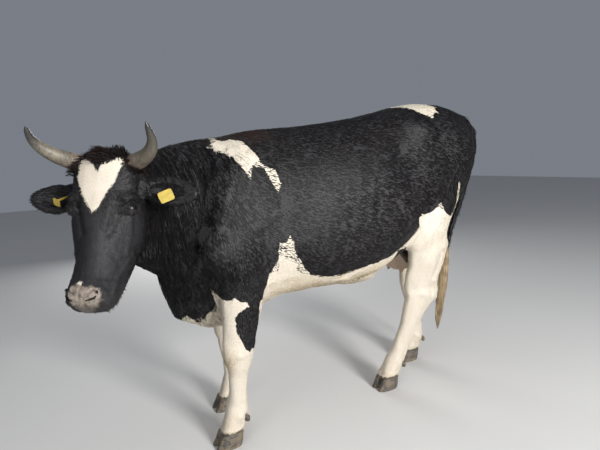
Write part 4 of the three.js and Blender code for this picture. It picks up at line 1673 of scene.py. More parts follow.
def hanging(
    roots: Roots,
    length: Points,
    steps: int,
    fall: Points,
    wave: float,
    rise: float,
    tree: BVHTree,
    seed: int,
    cling: bool = False,
) -> Points:
    """Paths of long hair that starts along the skin, then hangs, and stays outside the skin.

    Args:
        roots: where it grows.
        length: each one's length.
        steps: how many places each path has.
        fall: the direction that it hangs in.
        wave: how far it waves to each side, in metres.
        rise: how steeply it leaves the skin.
        tree: the skin, which it is kept out of.
        seed: what its variety starts from.
        cling: whether it lies close to the skin all along.

    Returns:
        The paths, one row of places for each root.
    """
    draw = np.random.default_rng(seed)
    count = len(roots.points)
    across = unit(np.cross(roots.normals, roots.ways))
    phase = draw.uniform(0, math.tau, (count, 1))
    clump = 2.2 * wavy(roots.points, 0.045, seed)[:, None]
    paths = [roots.points - 0.001 * roots.normals]
    here = roots.points.copy()
    way = unit(roots.ways + rise * roots.normals)
    step = (length / (steps - 1))[:, None]
    for k in range(1, steps):
        t = k / (steps - 1)
        way = unit(way * 0.6 + 0.4 * unit(fall + 0.15 * draw.normal(size=(count, 3)) * t))
        here = here + way * step
        for i, place in enumerate(here.tolist()):
            near, normal, _, _ = tree.find_nearest(place, 0.03)
            if near is None:
                continue
            gap = (here[i] - near) @ normal
            wanted = 0.0025 + 0.004 * t
            if gap < wanted or (cling and gap > wanted):
                here[i] += np.array(normal) * (wanted - gap)
        swing = wave * math.sin(math.pi * min(1, 1.2 * t)) * np.sin(phase * 0.3 + clump + t * 9.0)
        paths.append(here + across * swing)
    return np.stack(paths, axis=1)


def gathered(paths: Points, size: int, pull: float) -> Points:
    """Draws hairs together towards their tips, into locks.

    Args:
        paths: the hairs, one row of places for each.
        size: about how many hairs make a lock.
        pull: how far their tips are drawn to the lock's middle, from 0 to 1.

    Returns:
        The hairs drawn together.
    """
    leaders = paths[::size]
    near = [int(np.argmin(np.sum((leaders[:, 0] - root) ** 2, axis=1))) for root in paths[:, 0]]
    share = (np.linspace(0, 1, paths.shape[1]) ** 0.8 * pull)[None, :, None]
    return paths * (1 - share) + leaders[near] * share


# ---- finishes


class Value:
    """A number in a node tree, as a socket, on which plain arithmetic adds Math nodes."""

    def __init__(self, bench: "Bench", socket: bpy.types.NodeSocket) -> None:
        """Wraps a socket of a node tree."""
        self.bench = bench
        self.socket = socket

    def math(self, kind: str, first: "Number", second: "Number" = 0.0) -> "Value":
        """The result of a Math node."""
        made = self.bench.node("ShaderNodeMath", {"operation": kind}, {0: first, 1: second})
        return Value(self.bench, made.outputs[0])

    def __add__(self, other: "Number") -> "Value":
        """This plus another."""
        return self.math("ADD", self, other)

    def __sub__(self, other: "Number") -> "Value":
        """This minus another."""
        return self.math("SUBTRACT", self, other)

    def __rsub__(self, other: "Number") -> "Value":
        """Another minus this."""
        return self.math("SUBTRACT", other, self)

    def __mul__(self, other: "Number") -> "Value":
        """This times another."""
        return self.math("MULTIPLY", self, other)

    def __pow__(self, other: "Number") -> "Value":
        """This to a power."""
        return self.math("POWER", self, other)

    __radd__ = __add__
    __rmul__ = __mul__

    def least(self, other: "Number") -> "Value":
        """The smaller of this and another."""
        return self.math("MINIMUM", self, other)

    def most(self, other: "Number") -> "Value":
        """The larger of this and another."""
        return self.math("MAXIMUM", self, other)

    def wave(self) -> "Value":
        """The sine of this."""
        return self.math("SINE", self)

    def step(self, low: float, high: float, to_low: float = 0.0, to_high: float = 1.0) -> "Value":
        """A smooth step from one number to another as this runs from low to high.

        Args:
            low: where it starts.
            high: where it ends.
            to_low: the first number.
            to_high: the second number.

        Returns:
            The stepped value.
        """
        settings = {"interpolation_type": "SMOOTHSTEP"}
        made = self.bench.node(
            "ShaderNodeMapRange", settings, {0: self, 1: low, 2: high, 3: to_low, 4: to_high}
        )
        return Value(self.bench, made.outputs[0])


Number = Value | float
Colour = tuple[float, float, float]


class Bench:
    """A node tree while it is being made."""

    def __init__(self, tree: bpy.types.NodeTree) -> None:
        """Starts with an empty tree."""
        self.tree = tree
        tree.nodes.clear()

    def node(self, kind: str, settings: dict | None = None, inputs: dict | None = None) -> bpy.types.Node:
        """Adds a node.

        Args:
            kind: its type.
            settings: its properties, which are set first.
            inputs: for each socket's name or number, a value, a socket or a number to link.

        Returns:
            The node.
        """
        made = self.tree.nodes.new(kind)
        for key, value in (settings or {}).items():
            setattr(made, key, value)
        for key, value in (inputs or {}).items():
            self.feed(made.inputs[key], value)
        return made

    def feed(self, socket: bpy.types.NodeSocket, value: object) -> None:
        """Links a socket to what a value stands for, or sets it.

        Args:
            socket: the socket.
            value: a value, a socket, a colour or a plain setting.
        """
        if isinstance(value, Value):
            self.tree.links.new(value.socket, socket)
        elif isinstance(value, bpy.types.NodeSocket):
            self.tree.links.new(value, socket)
        elif isinstance(value, tuple) and len(value) == 3 and socket.type == "RGBA":
            socket.default_value = (*value, 1.0)
        else:
            socket.default_value = value


class Recipe(Bench):
    """A material while it is being made."""

    def __init__(self, name: str) -> None:
        """Starts an empty material.

        Args:
            name: its name.
        """
        self.material = bpy.data.materials.new(name)
        self.material.use_nodes = True
        super().__init__(self.material.node_tree)

    def attribute(self, name: str) -> Value:
        """A number kept on the mesh's points."""
        return Value(self, self.node("ShaderNodeAttribute", {"attribute_name": name}).outputs["Fac"])

    def attributes(self, *names: str) -> list[Value]:
        """Several of them."""
        return [self.attribute(name) for name in names]

    def place(self) -> bpy.types.NodeSocket:
        """The surface's place in the model."""
        return self.node("ShaderNodeTexCoord").outputs["Object"]

    def stretched(self, scale: Colour) -> bpy.types.NodeSocket:
        """The surface's place, stretched along the axes."""
        inputs = {0: self.place(), 1: scale}
        return self.node("ShaderNodeVectorMath", {"operation": "MULTIPLY"}, inputs).outputs[0]

    def noise(
        self, size: float, detail: float = 2.0, rough: float = 0.5, at: bpy.types.NodeSocket | None = None
    ) -> Value:
        """Noise of 0 to 1 whose bumps are of the given size in metres."""
        inputs = {"Vector": at or self.place(), "Scale": 1 / size, "Detail": detail, "Roughness": rough}
        return Value(self, self.node("ShaderNodeTexNoise", None, inputs).outputs["Fac"])

    def cells(self, size: float) -> Value:
        """The distance to the middle of the nearest cell, for cells of the given size."""
        inputs = {"Vector": self.place(), "Scale": 1 / size}
        return Value(self, self.node("ShaderNodeTexVoronoi", None, inputs).outputs["Distance"])

    def mix(self, share: Number, first: object, second: object) -> bpy.types.NodeSocket:
        """A colour between two."""
        inputs = {0: share, 6: first, 7: second}
        return self.node("ShaderNodeMix", {"data_type": "RGBA"}, inputs).outputs[2]

    def bump(self, height: Number, depth: float) -> bpy.types.NodeSocket:
        """The normals of a relief of the given depth in metres."""
        inputs = {"Height": height, "Distance": depth, "Strength": 1.0}
        return self.node("ShaderNodeBump", None, inputs).outputs[0]

    def finish(self, **inputs: object) -> bpy.types.Material:
        """Ends the material with a Principled shader, whose sockets' names are given with underscores.

        Args:
            inputs: values, sockets or settings.

        Returns:
            The material.
        """
        named = {key.replace("_", " "): value for key, value in inputs.items()}
        shader = self.node("ShaderNodeBsdfPrincipled", None, named)
        out = self.node("ShaderNodeOutputMaterial")
        self.tree.links.new(shader.outputs[0], out.inputs[0])
        return self.material


@dataclass(frozen=True)
class CoatFinish:
    """Glossy black and creamy white hair."""

    black: Colour = (0.0028, 0.0028, 0.0034)
    # The grey of dust on black hair, which also serves as a painted sheen of light glancing off it.
    dust_and_sheen: Colour = (0.029, 0.029, 0.033)
    rusty: Colour = (0.06, 0.024, 0.014)
    white: Colour = (0.86, 0.8, 0.675)
    cream: Colour = (0.66, 0.53, 0.33)
    mud: Colour = (0.2, 0.145, 0.085)

    def make(self) -> bpy.types.Material:
        """Mixes the colours.

        Returns:
            The finished material.
        """
        recipe = Recipe("cow_coat")
        white, tone, stain, along = recipe.attributes("white", "tone", "stain", "along")
        fine = recipe.noise(0.012, 2.0)
        rust = (recipe.attribute("rust") * (0.55 + 0.45 * tone) + tone * 0.06).least(1.0)
        # Painted sheen and dust: random hairs and the bridge of the face are greyed, partly for dust and
        # partly for light glancing off black hair.
        dust_and_sheen = tone.step(0.6, 1.0) * 0.3 + recipe.attribute("grey") * 0.85
        dark = recipe.mix(dust_and_sheen.least(1.0), self.black, self.dust_and_sheen)
        dark = recipe.mix(rust, dark, self.rusty)
        creamy = (stain + tone * 0.3 + fine * 0.15 - along * 0.05).least(1.0)
        light = recipe.mix(creamy, self.white, self.cream)
        light = recipe.mix(stain.step(0.55, 1.0) * fine.step(0.3, 0.7), light, self.mud)
        frayed = white + (tone - 0.5) * 0.0025
        share = frayed.step(-0.001, 0.001)
        colour = recipe.mix(share, dark, light)
        # Painted shade: each hair is darkened towards its root, where the hairs shade each other.
        colour = recipe.mix(1.0 - (0.55 + 0.45 * along), colour, (0.0, 0.0, 0.0))
        rough = 0.34 + share * 0.28 + tone * 0.24 + stain * 0.12
        return recipe.finish(
            Base_Color=colour,
            Roughness=rough,
            Specular_IOR_Level=0.17,
            Sheen_Weight=0.02,
            Sheen_Roughness=0.35,
            Sheen_Tint=(0.75, 0.8, 0.9, 1.0),
        )


@dataclass(frozen=True)
class SkinFinish:
    """Skin as it shows between the hairs, and bare on nose and udder."""

    dark: Colour = (0.01, 0.009, 0.01)
    light: Colour = (0.64, 0.56, 0.47)
    nose: Colour = (0.245, 0.2, 0.163)
    slate: Colour = (0.075, 0.07, 0.054)
    lip: Colour = (0.062, 0.052, 0.04)
    udder: Colour = (0.42, 0.31, 0.24)

    def make(self) -> bpy.types.Material:
        """Mixes the colours and the relief.

        Returns:
            The finished material.
        """
        recipe = Recipe("cow_skin")
        white = recipe.attribute("white").step(-0.0012, 0.0012)
        wander = recipe.noise(0.014, 3.0, 0.6) * 0.016 - 0.008
        bare = (recipe.attribute("bare") + wander).step(-0.006, 0.004)
        udder = recipe.attribute("udder")
        mottle = recipe.noise(0.018, 3.0, 0.6)
        pebble = recipe.cells(0.0042)
        colour = recipe.mix(white, self.dark, self.light)
        nose = recipe.mix(mottle.step(0.42, 0.72) * 0.85, self.nose, self.slate)
        nose = recipe.mix(recipe.attribute("low") * (0.55 + mottle * 0.6), nose, self.lip)
        colour = recipe.mix(bare, colour, nose)
        colour = recipe.mix(udder, colour, recipe.mix(mottle, self.udder, (0.56, 0.42, 0.33)))
        # Painted shade: the sunken mouth's line and nostrils are darkened to near black.
        colour = recipe.mix(recipe.attribute("hollow"), colour, (0.004, 0.003, 0.003))
        wet = recipe.attribute("wet")
        relief = pebble.step(0.0, 0.5) * bare + recipe.noise(0.003, 2.0) * 0.25
        return recipe.finish(
            Base_Color=colour,
            Roughness=0.62 - bare * 0.2 - wet * 0.44 + mottle * 0.08,
            Normal=recipe.bump(relief, 0.0006),
            Specular_IOR_Level=0.5,
        )


@dataclass(frozen=True)
class HornFinish:
    """Grey horn: scurfy and brown at the root, streaked along, and dark at the tip."""

    root: Colour = (0.215, 0.15, 0.115)
    middle: Colour = (0.105, 0.094, 0.067)
    pale: Colour = (0.27, 0.235, 0.17)
    tip: Colour = (0.034, 0.032, 0.03)

    def make(self) -> bpy.types.Material:
        """Mixes the colours and the relief.

        Returns:
            The finished material.
        """
        recipe = Recipe("cow_horn")
        along, around = recipe.attributes("along", "around")
        streak = recipe.noise(0.006, 3.0, 0.6, recipe.stretched((1.0, 1.0, 0.25)))
        broad = recipe.noise(0.05, 2.0)
        colour = recipe.mix(along.step(0.05, 0.32) * 0.8 + streak * 0.2, self.root, self.middle)
        colour = recipe.mix(broad.step(0.42, 0.75) * along.step(0.1, 0.5) * 0.55, colour, self.pale)
        colour = recipe.mix(streak.step(0.42, 0.66) * 0.7, colour, (0.06, 0.055, 0.045))
        colour = recipe.mix(along.step(0.5, 0.9), colour, self.tip)
        rings = ((along + around * 0.004 + broad * 0.02) * 150).wave()
        relief = rings * along.step(0.42, 0.05) * 0.6 + streak * 0.6
        return recipe.finish(
            Base_Color=colour,
            Roughness=0.5 - along.step(0.2, 0.9) * 0.2 + streak * 0.08,
            Normal=recipe.bump(relief, 0.0011),
            Specular_IOR_Level=0.5,
        )


@dataclass(frozen=True)
class ClawFinish:
    """Dark grey claw with growth rings and dried mud."""

    dark: Colour = (0.04, 0.036, 0.033)
    light: Colour = (0.135, 0.118, 0.098)
    mud: Colour = (0.19, 0.145, 0.095)

    def make(self) -> bpy.types.Material:
        """Mixes the colours and the relief.

        Returns:
            The finished material.
        """
        recipe = Recipe("cow_claw")
        fine = recipe.noise(0.004, 3.0, 0.6, recipe.stretched((1.0, 1.0, 0.3)))
        broad = recipe.noise(0.03, 3.0, 0.6)
        height = recipe.attribute("height")
        rings = ((height + broad * 0.1) * 34).wave()
        colour = recipe.mix(fine.step(0.3, 0.7) * 0.6 + rings * 0.1, self.dark, self.light)
        dirty = broad.step(0.42, 0.62) * 0.75 + height.step(0.35, 0.0) * 0.35
        colour = recipe.mix(dirty.least(1.0), colour, self.mud)
        return recipe.finish(
            Base_Color=colour,
            Roughness=0.46 + broad * 0.35,
            Normal=recipe.bump(rings * 0.5 + fine + broad * 2.0, 0.001),
        )


@dataclass(frozen=True)
class EyeFinish:
    """A dark brown eye with a wide pupil."""

    white: Colour = (0.02, 0.015, 0.013)
    iris: Colour = (0.01, 0.005, 0.003)
    pupil: Colour = (0.0035, 0.004, 0.007)

    def make(self) -> bpy.types.Material:
        """Mixes the colours.

        Returns:
            The finished material.
        """
        recipe = Recipe("cow_eye")
        across, over, front = recipe.attributes("across", "over", "front")
        streak = recipe.noise(0.0012, 3.0, 0.6)
        iris = recipe.mix(streak, self.iris, (0.02, 0.01, 0.006))
        pupil = (across * across * 4.0 + over * over * 11.0).step(1.0, 0.75)
        colour = recipe.mix(front.step(0.7, 0.76), self.white, iris)
        colour = recipe.mix(pupil, colour, self.pupil)
        return recipe.finish(Base_Color=colour, Roughness=0.34, Specular_IOR_Level=0.3)


@dataclass(frozen=True)
class TagFinish:
    """Bright yellow flexible plastic, scuffed and a little soiled."""

    clean: Colour = (0.5, 0.37, 0.06)
    worn: Colour = (0.31, 0.21, 0.03)

    def make(self) -> bpy.types.Material:
        """Mixes the colours and the relief.

        Returns:
            The finished material.
        """
        recipe = Recipe("tag_plastic")
        scuff = recipe.noise(0.003, 4.0, 0.7)
        broad = recipe.noise(0.018, 3.0)
        colour = recipe.mix(broad.step(0.35, 0.75) * 0.6 + scuff * 0.15, self.clean, self.worn)
        return recipe.finish(
            Base_Color=colour,
            Roughness=0.42 + scuff * 0.22,
            Normal=recipe.bump(scuff, 0.0003),
            Subsurface_Weight=0.05,
        )


@dataclass(frozen=True)
class SwitchFinish:
    """Straw-brown tail hair, soiled towards its ends."""

    pale: Colour = (0.68, 0.53, 0.32)
    brown: Colour = (0.16, 0.095, 0.048)

    def make(self) -> bpy.types.Material:
        """Mixes the colours.

        Returns:
            The finished material.
        """
        recipe = Recipe("switch_hair")
        tone, along = recipe.attributes("tone", "along")
        soiled = recipe.noise(0.05, 3.0).step(0.35, 0.7)
        share = (tone * 0.6 + soiled * 0.4 + along.step(0.2, 0.0) * 0.5).least(1.0)
        colour = recipe.mix(share, self.pale, self.brown)
        return recipe.finish(Base_Color=colour, Roughness=0.5 + tone * 0.2, Sheen_Weight=0.1)


# ---- camera, floor and light


@dataclass(frozen=True)
class Studio:
    """A plain pale floor, soft light, and the camera."""

    eye: Place = (-0.579, -1.969, 1.171)
    turned: Place = (-7.4, 4.9, -26.9)
    lens: float = 28.8
    floor: Colour = (0.62, 0.61, 0.59)

    def build(self) -> None:
        """Makes all of it."""
        self.camera()
        self.ground()
        self.lamp("key", (1.3, -4.8, 2.3), (0.35, 0.0, 0.85), 1.4, 360)
        self.lamp("fill", (-2.9, -2.6, 2.4), (-0.1, -0.2, 0.9), 2.4, 42)
        self.lamp("back", (1.2, 4.2, 1.7), (0.4, 0.0, 0.8), 2.4, 75)
        self.lamp("top", (0.3, -0.3, 4.4), (0.3, 0.0, 1.0), 3.0, 16)
        world = bpy.data.worlds.new("studio")
        world.use_nodes = True
        world.node_tree.nodes["Background"].inputs[0].default_value = (0.8, 0.87, 1.0, 1)
        world.node_tree.nodes["Background"].inputs[1].default_value = 0.24
        bpy.context.scene.view_settings.view_transform = "Standard"
        bpy.context.scene.world = world

    def camera(self) -> None:
        """Sets the camera at eye height by the cow's left shoulder."""
        data = bpy.data.cameras.new("camera")
        data.sensor_width = 36
        data.lens = self.lens
        camera = linked("camera", data)
        turn = Vector(np.radians(self.turned).tolist())
        level = Matrix.Rotation(math.radians(90), 4, "X")
        swing = Matrix.Rotation(turn.length, 4, turn.normalized())
        camera.matrix_world = Matrix.Translation(STANCE.place(np.array(self.eye)).tolist()) @ swing @ level
        bpy.context.scene.camera = camera

    def ground(self) -> None:
        """Lays the floor, a flat square that reaches far off."""
        size = 14.0
        corners = np.array([(-size, -size, 0), (size, -size, 0), (size, size, 0), (-size, size, 0)])
        recipe = Recipe("studio_floor")
        shade = recipe.noise(1.6, 2.0)
        colour = recipe.mix(shade, self.floor, tuple(0.94 * part for part in self.floor))
        finish = recipe.finish(Base_Color=colour, Roughness=0.8)
        floor = make_object("studio_floor", corners, np.array([(0, 1, 2, 3)]), finish)

    @staticmethod
    def lamp(
        name: str, at: Place, aim: Place, size: float, power: float
    ) -> None:
        """Hangs a soft lamp that points at a place, both in the cow's own frame.

        Args:
            name: its name.
            at: where it hangs.
            aim: what it points at.
            size: how wide it is.
            power: its watts.
        """
        data = bpy.data.lights.new(name, "AREA")
        data.shape = "DISK"
        data.size = size
        data.energy = power
        lamp = linked(name, data)
        lamp.location = STANCE.place(np.array(at)).tolist()
        way = Vector(aim) - Vector(at)
        lamp.rotation_euler = way.to_track_quat("-Z", "Y").to_euler()


# ---- the cow


@dataclass
class Coat:
    """The short hair all over the skin."""

    hide: Hide
    finish: bpy.types.Material
    chest_end: float = 0.3
    barrel_end: float = 0.82

    def build(self) -> None:
        """Makes the pieces of short coat."""
        density = self.hide.field_of("density", 0.01)
        density = density * (1 - self.hide.bald) * (1.0 if FINE else 0.12)
        roots = Roots.over(self.hide, density, 3)
        if not FINE:
            for name in ("length", "width"):
                roots.values[name] *= 1.8
        LOG.info("coat: %d wisps", len(roots.points))
        own = STANCE.own(roots.points)
        region = roots.regions
        trunk = among(region, Region.TRUNK, Region.UDDER)
        x = own[:, 0]
        middle = (x >= self.chest_end) & (x < self.barrel_end)
        parts = {
            "coat_chest": (trunk & (x < self.chest_end), (-0.35, 0.0, 0.85), (0.35, 0.0, 0.95)),
            "coat_barrel": (trunk & middle, (0.28, 0.0, 0.95), (0.85, 0.0, 0.95)),
            "coat_hindquarters": (trunk & (x >= self.barrel_end), (0.8, 0.0, 0.95), (1.52, 0.0, 1.05)),
            "coat_neck": (region == Region.NECK, (-0.46, -0.25, 1.0), (0.15, 0.0, 0.9)),
            "coat_tail": (region == Region.TAIL, (1.45, 0.0, 1.4), (1.35, 0.0, 0.55)),
        }
        head = among(region, *FACE_REGIONS)
        parts["coat_head"] = (head, *STANCE.from_head((-0.1, 0, 0.06), (-0.06, 0, -0.54)))
        ears = region == Region.EAR
        side = STANCE.on_head(roots.points)[:, 1]
        for name, sign in (("left", 1), ("right", -1)):
            ends = STANCE.from_head((-0.1, 0.08 * sign, -0.1), (-0.11, 0.3 * sign, -0.11))
            parts[f"coat_ear_{name}"] = (ears & (side * sign > 0), *ends)
        legs = among(region, *LIMB_REGIONS)
        for leg in LEGS:
            here = legs & ((x > 0.5) == leg.startswith("hind")) & ((own[:, 1] < 0) == leg.endswith("left"))
            low, high = (STANCE.own(node_box(f"{leg}_{half}").mean(axis=0)) for half in ("shank", "leg"))
            parts[f"coat_{leg}"] = (here, (*high[:2], 0.92), (*low[:2], 0.03))
        for name, (here, start, end) in parts.items():
            wrap = Wrap.along(start, end)
            settle(Tufts().grow(name, roots.only(here), wrap, self.finish), "black_coat")


@dataclass
class Horn:
    """A horn swept along its curve, with rings at its root."""

    side: int
    line: tuple[Place, ...] = (
        (-0.056, 0.084, -0.018), (-0.034, 0.117, -0.014), (0.006, 0.158, -0.007), (0.05, 0.185, 0.015),
        (0.084, 0.187, 0.034), (0.112, 0.183, 0.055),
    )  # fmt: skip
    length: float = 0.226
    root_radius: float = 0.029
    taper: float = 0.82
    steps: int = 90
    around: int = 28

    def places(self) -> Points:
        """The horn's line in the row frame, at its own length, with its tip lifted more on the left.

        Returns:
            The line's places from root to tip.
        """
        line = np.array(self.line)
        line[3:, 2] += np.array((0.5, 0.8, 1.0)) * (0.01 * self.side - 0.003)
        line[2:4, 1] += 0.0035 * (1 + self.side)
        line *= (1, self.side, 1)
        found = np.linalg.norm(np.diff(line, axis=0), axis=1).sum()
        line = line[0] + (line - line[0]) * self.length / found
        return STANCE.head(line)

    def build(self, finish: bpy.types.Material) -> bpy.types.Object:
        """Sweeps the horn by Geometry Nodes round the smoothed line.

        Args:
            finish: the piece's material.

        Returns:
            The horn's sheath.
        """
        name = side_name(self.side)
        places = self.places()
        t = np.linspace(0, 1, len(places))
        fine = np.linspace(0, 1, 60)
        smooth = np.stack([np.interp(fine, t, places[:, k]) for k in range(3)], axis=1)
        for _ in range(60):
            smooth[1:-1] = (smooth[:-2] + 2 * smooth[1:-1] + smooth[2:]) / 4
        mesh = bpy.data.meshes.new("horn_line")
        mesh.from_pydata(smooth.tolist(), [(i, i + 1) for i in range(len(smooth) - 1)], [])
        line = linked("horn_line", mesh)
        sweep = self.sweep(finish)
        modifier = line.modifiers.new("sweep", "NODES")
        modifier.node_group = sweep
        sizes = {"Root radius": self.root_radius, "Steps": self.steps}
        for item in sweep.interface.items_tree:
            if item.name in sizes:
                modifier[item.identifier] = sizes[item.name]
        mesh = evaluated(line)
        mesh.name = f"horn_sheath_{name}"
        made = linked(mesh.name, mesh)
        discard(line)
        return settle(made, "horn", f"horn_{name}")

    def sweep(self, finish: bpy.types.Material) -> bpy.types.NodeTree:
        """The node group that sweeps a tapering, ringed tube along a line of edges.

        Args:
            finish: the piece's material.

        Returns:
            The node group.
        """
        group = bpy.data.node_groups.new("horn_sweep", "GeometryNodeTree")
        for name, kind in (("Geometry", "Geometry"), ("Root radius", "Float"), ("Steps", "Int")):
            group.interface.new_socket(name, in_out="INPUT", socket_type=f"NodeSocket{kind}")
        group.interface.new_socket("Geometry", in_out="OUTPUT", socket_type="NodeSocketGeometry")
        bench = Bench(group)

        def stored(geometry: bpy.types.NodeSocket, name: str, value: Value) -> bpy.types.NodeSocket:
            """The geometry with a number kept on its points."""
            settings = {"data_type": "FLOAT", "domain": "POINT"}
            inputs = {"Geometry": geometry, "Name": name, "Value": value}
            return bench.node("GeometryNodeStoreNamedAttribute", settings, inputs).outputs[0]

        given = bench.node("NodeGroupInput").outputs
        curve = bench.node("GeometryNodeMeshToCurve", None, {"Mesh": given["Geometry"]}).outputs[0]
        curve = bench.node("GeometryNodeResampleCurve", None, {"Curve": curve, "Count": given["Steps"]})
        along = Value(bench, bench.node("GeometryNodeSplineParameter").outputs["Factor"])
        wide = 1.0 - self.taper * along**1.6
        rings = (along * 132.0).wave() * along.step(0.4, 0.04) * 0.022
        swell = (along * 41.0).wave() * along.step(0.55, 0.1) * 0.016
        point = ((1.0 - along) * 14.0).least(1.0) ** 0.5
        radius = Value(bench, given["Root radius"]) * (wide + rings + swell) * point.most(0.02)
        kept = stored(curve.outputs[0], "along", along)
        inputs = {"Resolution": self.around, "Radius": 1.0}
        ring = bench.node("GeometryNodeCurvePrimitiveCircle", None, inputs)
        turn = Value(bench, bench.node("GeometryNodeSplineParameter").outputs["Factor"])
        marked = stored(ring.outputs[0], "around", turn)
        inputs = {"Curve": kept, "Profile Curve": marked, "Fill Caps": True, "Scale": radius}
        tube = bench.node("GeometryNodeCurveToMesh", None, inputs)
        smooth = bench.node("GeometryNodeSetShadeSmooth", None, {"Geometry": tube.outputs[0]})
        inputs = {"Geometry": smooth.outputs[0], "Material": finish}
        dressed = bench.node("GeometryNodeSetMaterial", None, inputs)
        real = bench.node("GeometryNodeRealizeInstances", None, {"Geometry": dressed.outputs[0]})
        bench.node("NodeGroupOutput", None, {0: real.outputs[0]})
        return group


@dataclass
class Feet:
    """The claws and dewclaws of one leg, rounded and ringed."""

    leg: str
    voxel: float = 0.0026 if FINE else 0.005
    ring: float = 0.00045

    def build(self, finish: bpy.types.Material) -> bpy.types.Object:
        """Remeshes the four nodes, softens them and adds their growth rings.

        Args:
            finish: the piece's material.

        Returns:
            The claws as one piece.
        """
        nodes = [f"claw_{self.leg}_{place}" for place in ("outer", "inner")]
        nodes += [f"dewclaw_{self.leg}_{i}" for i in (1, 2)]
        all_points, all_faces, heights, start = [], [], [], 0
        for node in nodes:
            shape = self.rounded(node)
            low, high = node_box(node)
            local = (shape.points - low) / (high - low)
            front = 1 - local[:, 0]
            tall = local[:, 2] + 0.1 * front
            way = shape.normals()
            rings = self.ring * (np.sin(tall * 46) + 0.5 * np.sin(tall * 97 + 1.2))
            side = ease(0.9, 0.4, np.abs(way[:, 2])) * ease(0.02, 0.12, local[:, 2])
            rough = 0.0007 * wavy(shape.points, 0.018, 41) * side
            shape.points = shape.points + way * (rings * side + rough)[:, None]
            shape.points[:, 2] = np.maximum(shape.points[:, 2], low[2])
            all_points.append(shape.points)
            all_faces.append(shape.faces + start)
            heights.append(tall)
            start += len(shape.points)
        values = {"height": np.concatenate(heights)}
        points, faces = np.concatenate(all_points), np.concatenate(all_faces)
        return settle(make_object(f"claws_{self.leg}", points, faces, finish, values), "claw", *nodes)

    def rounded(self, node: str) -> Surface:
        """A node's mesh as small even faces, with its edges rounded.

        Args:
            node: the node's name.

        Returns:
            The new shape.
        """
        work = bmesh.new()
        work.from_mesh(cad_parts[node].data)
        bmesh.ops.remove_doubles(work, verts=work.verts, dist=1e-5)
        mesh = bpy.data.meshes.new("claw")
        work.to_mesh(mesh)
        work.free()
        shape = even_shape(mesh, self.voxel)
        whole = shape.points
        soft = shape.soften(whole, 0.6, 9)
        shape.points = soft + 0.8 * shape.soften(whole - soft, 0.6, 9)
        return shape


@dataclass
class Switch:
    """The long lock at the tail's end."""

    line: tuple[Place, ...] = (
        (1.319, 0.01, 0.66), (1.317, 0.011, 0.608), (1.314, 0.014, 0.53), (1.302, 0.02, 0.43),
        (1.288, 0.026, 0.32), (1.276, 0.032, 0.22), (1.272, 0.035, 0.145),
    )  # fmt: skip
    spread: tuple[float, ...] = (0.01, 0.015, 0.023, 0.027, 0.025, 0.018, 0.009)
    count: int = 520
    steps: int = 15

    def build(self, finish: bpy.types.Material) -> bpy.types.Object:
        """Lays the strands down the lock, each to a length of its own.

        Args:
            finish: the piece's material.

        Returns:
            The lock.
        """
        draw = np.random.default_rng(77)
        line = STANCE.place(np.array(self.line))
        reach = draw.uniform(0.55, 1.0, self.count) ** 0.8
        out = np.sqrt(draw.random(self.count))
        turn = draw.uniform(0, math.tau, self.count)
        knots = np.linspace(0, 1, len(line))
        paths = []
        for k in range(self.steps):
            t = k / (self.steps - 1) * reach
            middle = np.stack([np.interp(t, knots, line[:, axis]) for axis in range(3)], axis=1)
            wide = np.interp(t, knots, self.spread) * out * (1 - 0.35 * ease(0.8, 1.0, t / reach))
            angle = turn + 0.5 * t + 0.25 * np.sin(7 * t + turn * 3)
            wave = 0.0022 * np.sin(t * 26 + turn * 5)
            side = np.stack([(wide + wave) * np.cos(angle), (wide + wave) * np.sin(angle), 0 * t], axis=1)
            paths.append(middle + side)
        paths = np.stack(paths, axis=1)
        thick = np.linspace(1.0, 0.45, self.steps - 1) * draw.uniform(0.0012, 0.0021, (self.count, 1))
        regions = np.full(self.count, Region.TAIL)
        wrap = Wrap(tuple(line[0] + (0, 0, 0.02)), tuple(line[-1]))
        made = Locks(0.8).grow("switch_hair", paths, thick, regions, wrap, finish)
        return settle(made, "switch_hair", "tail_switch")


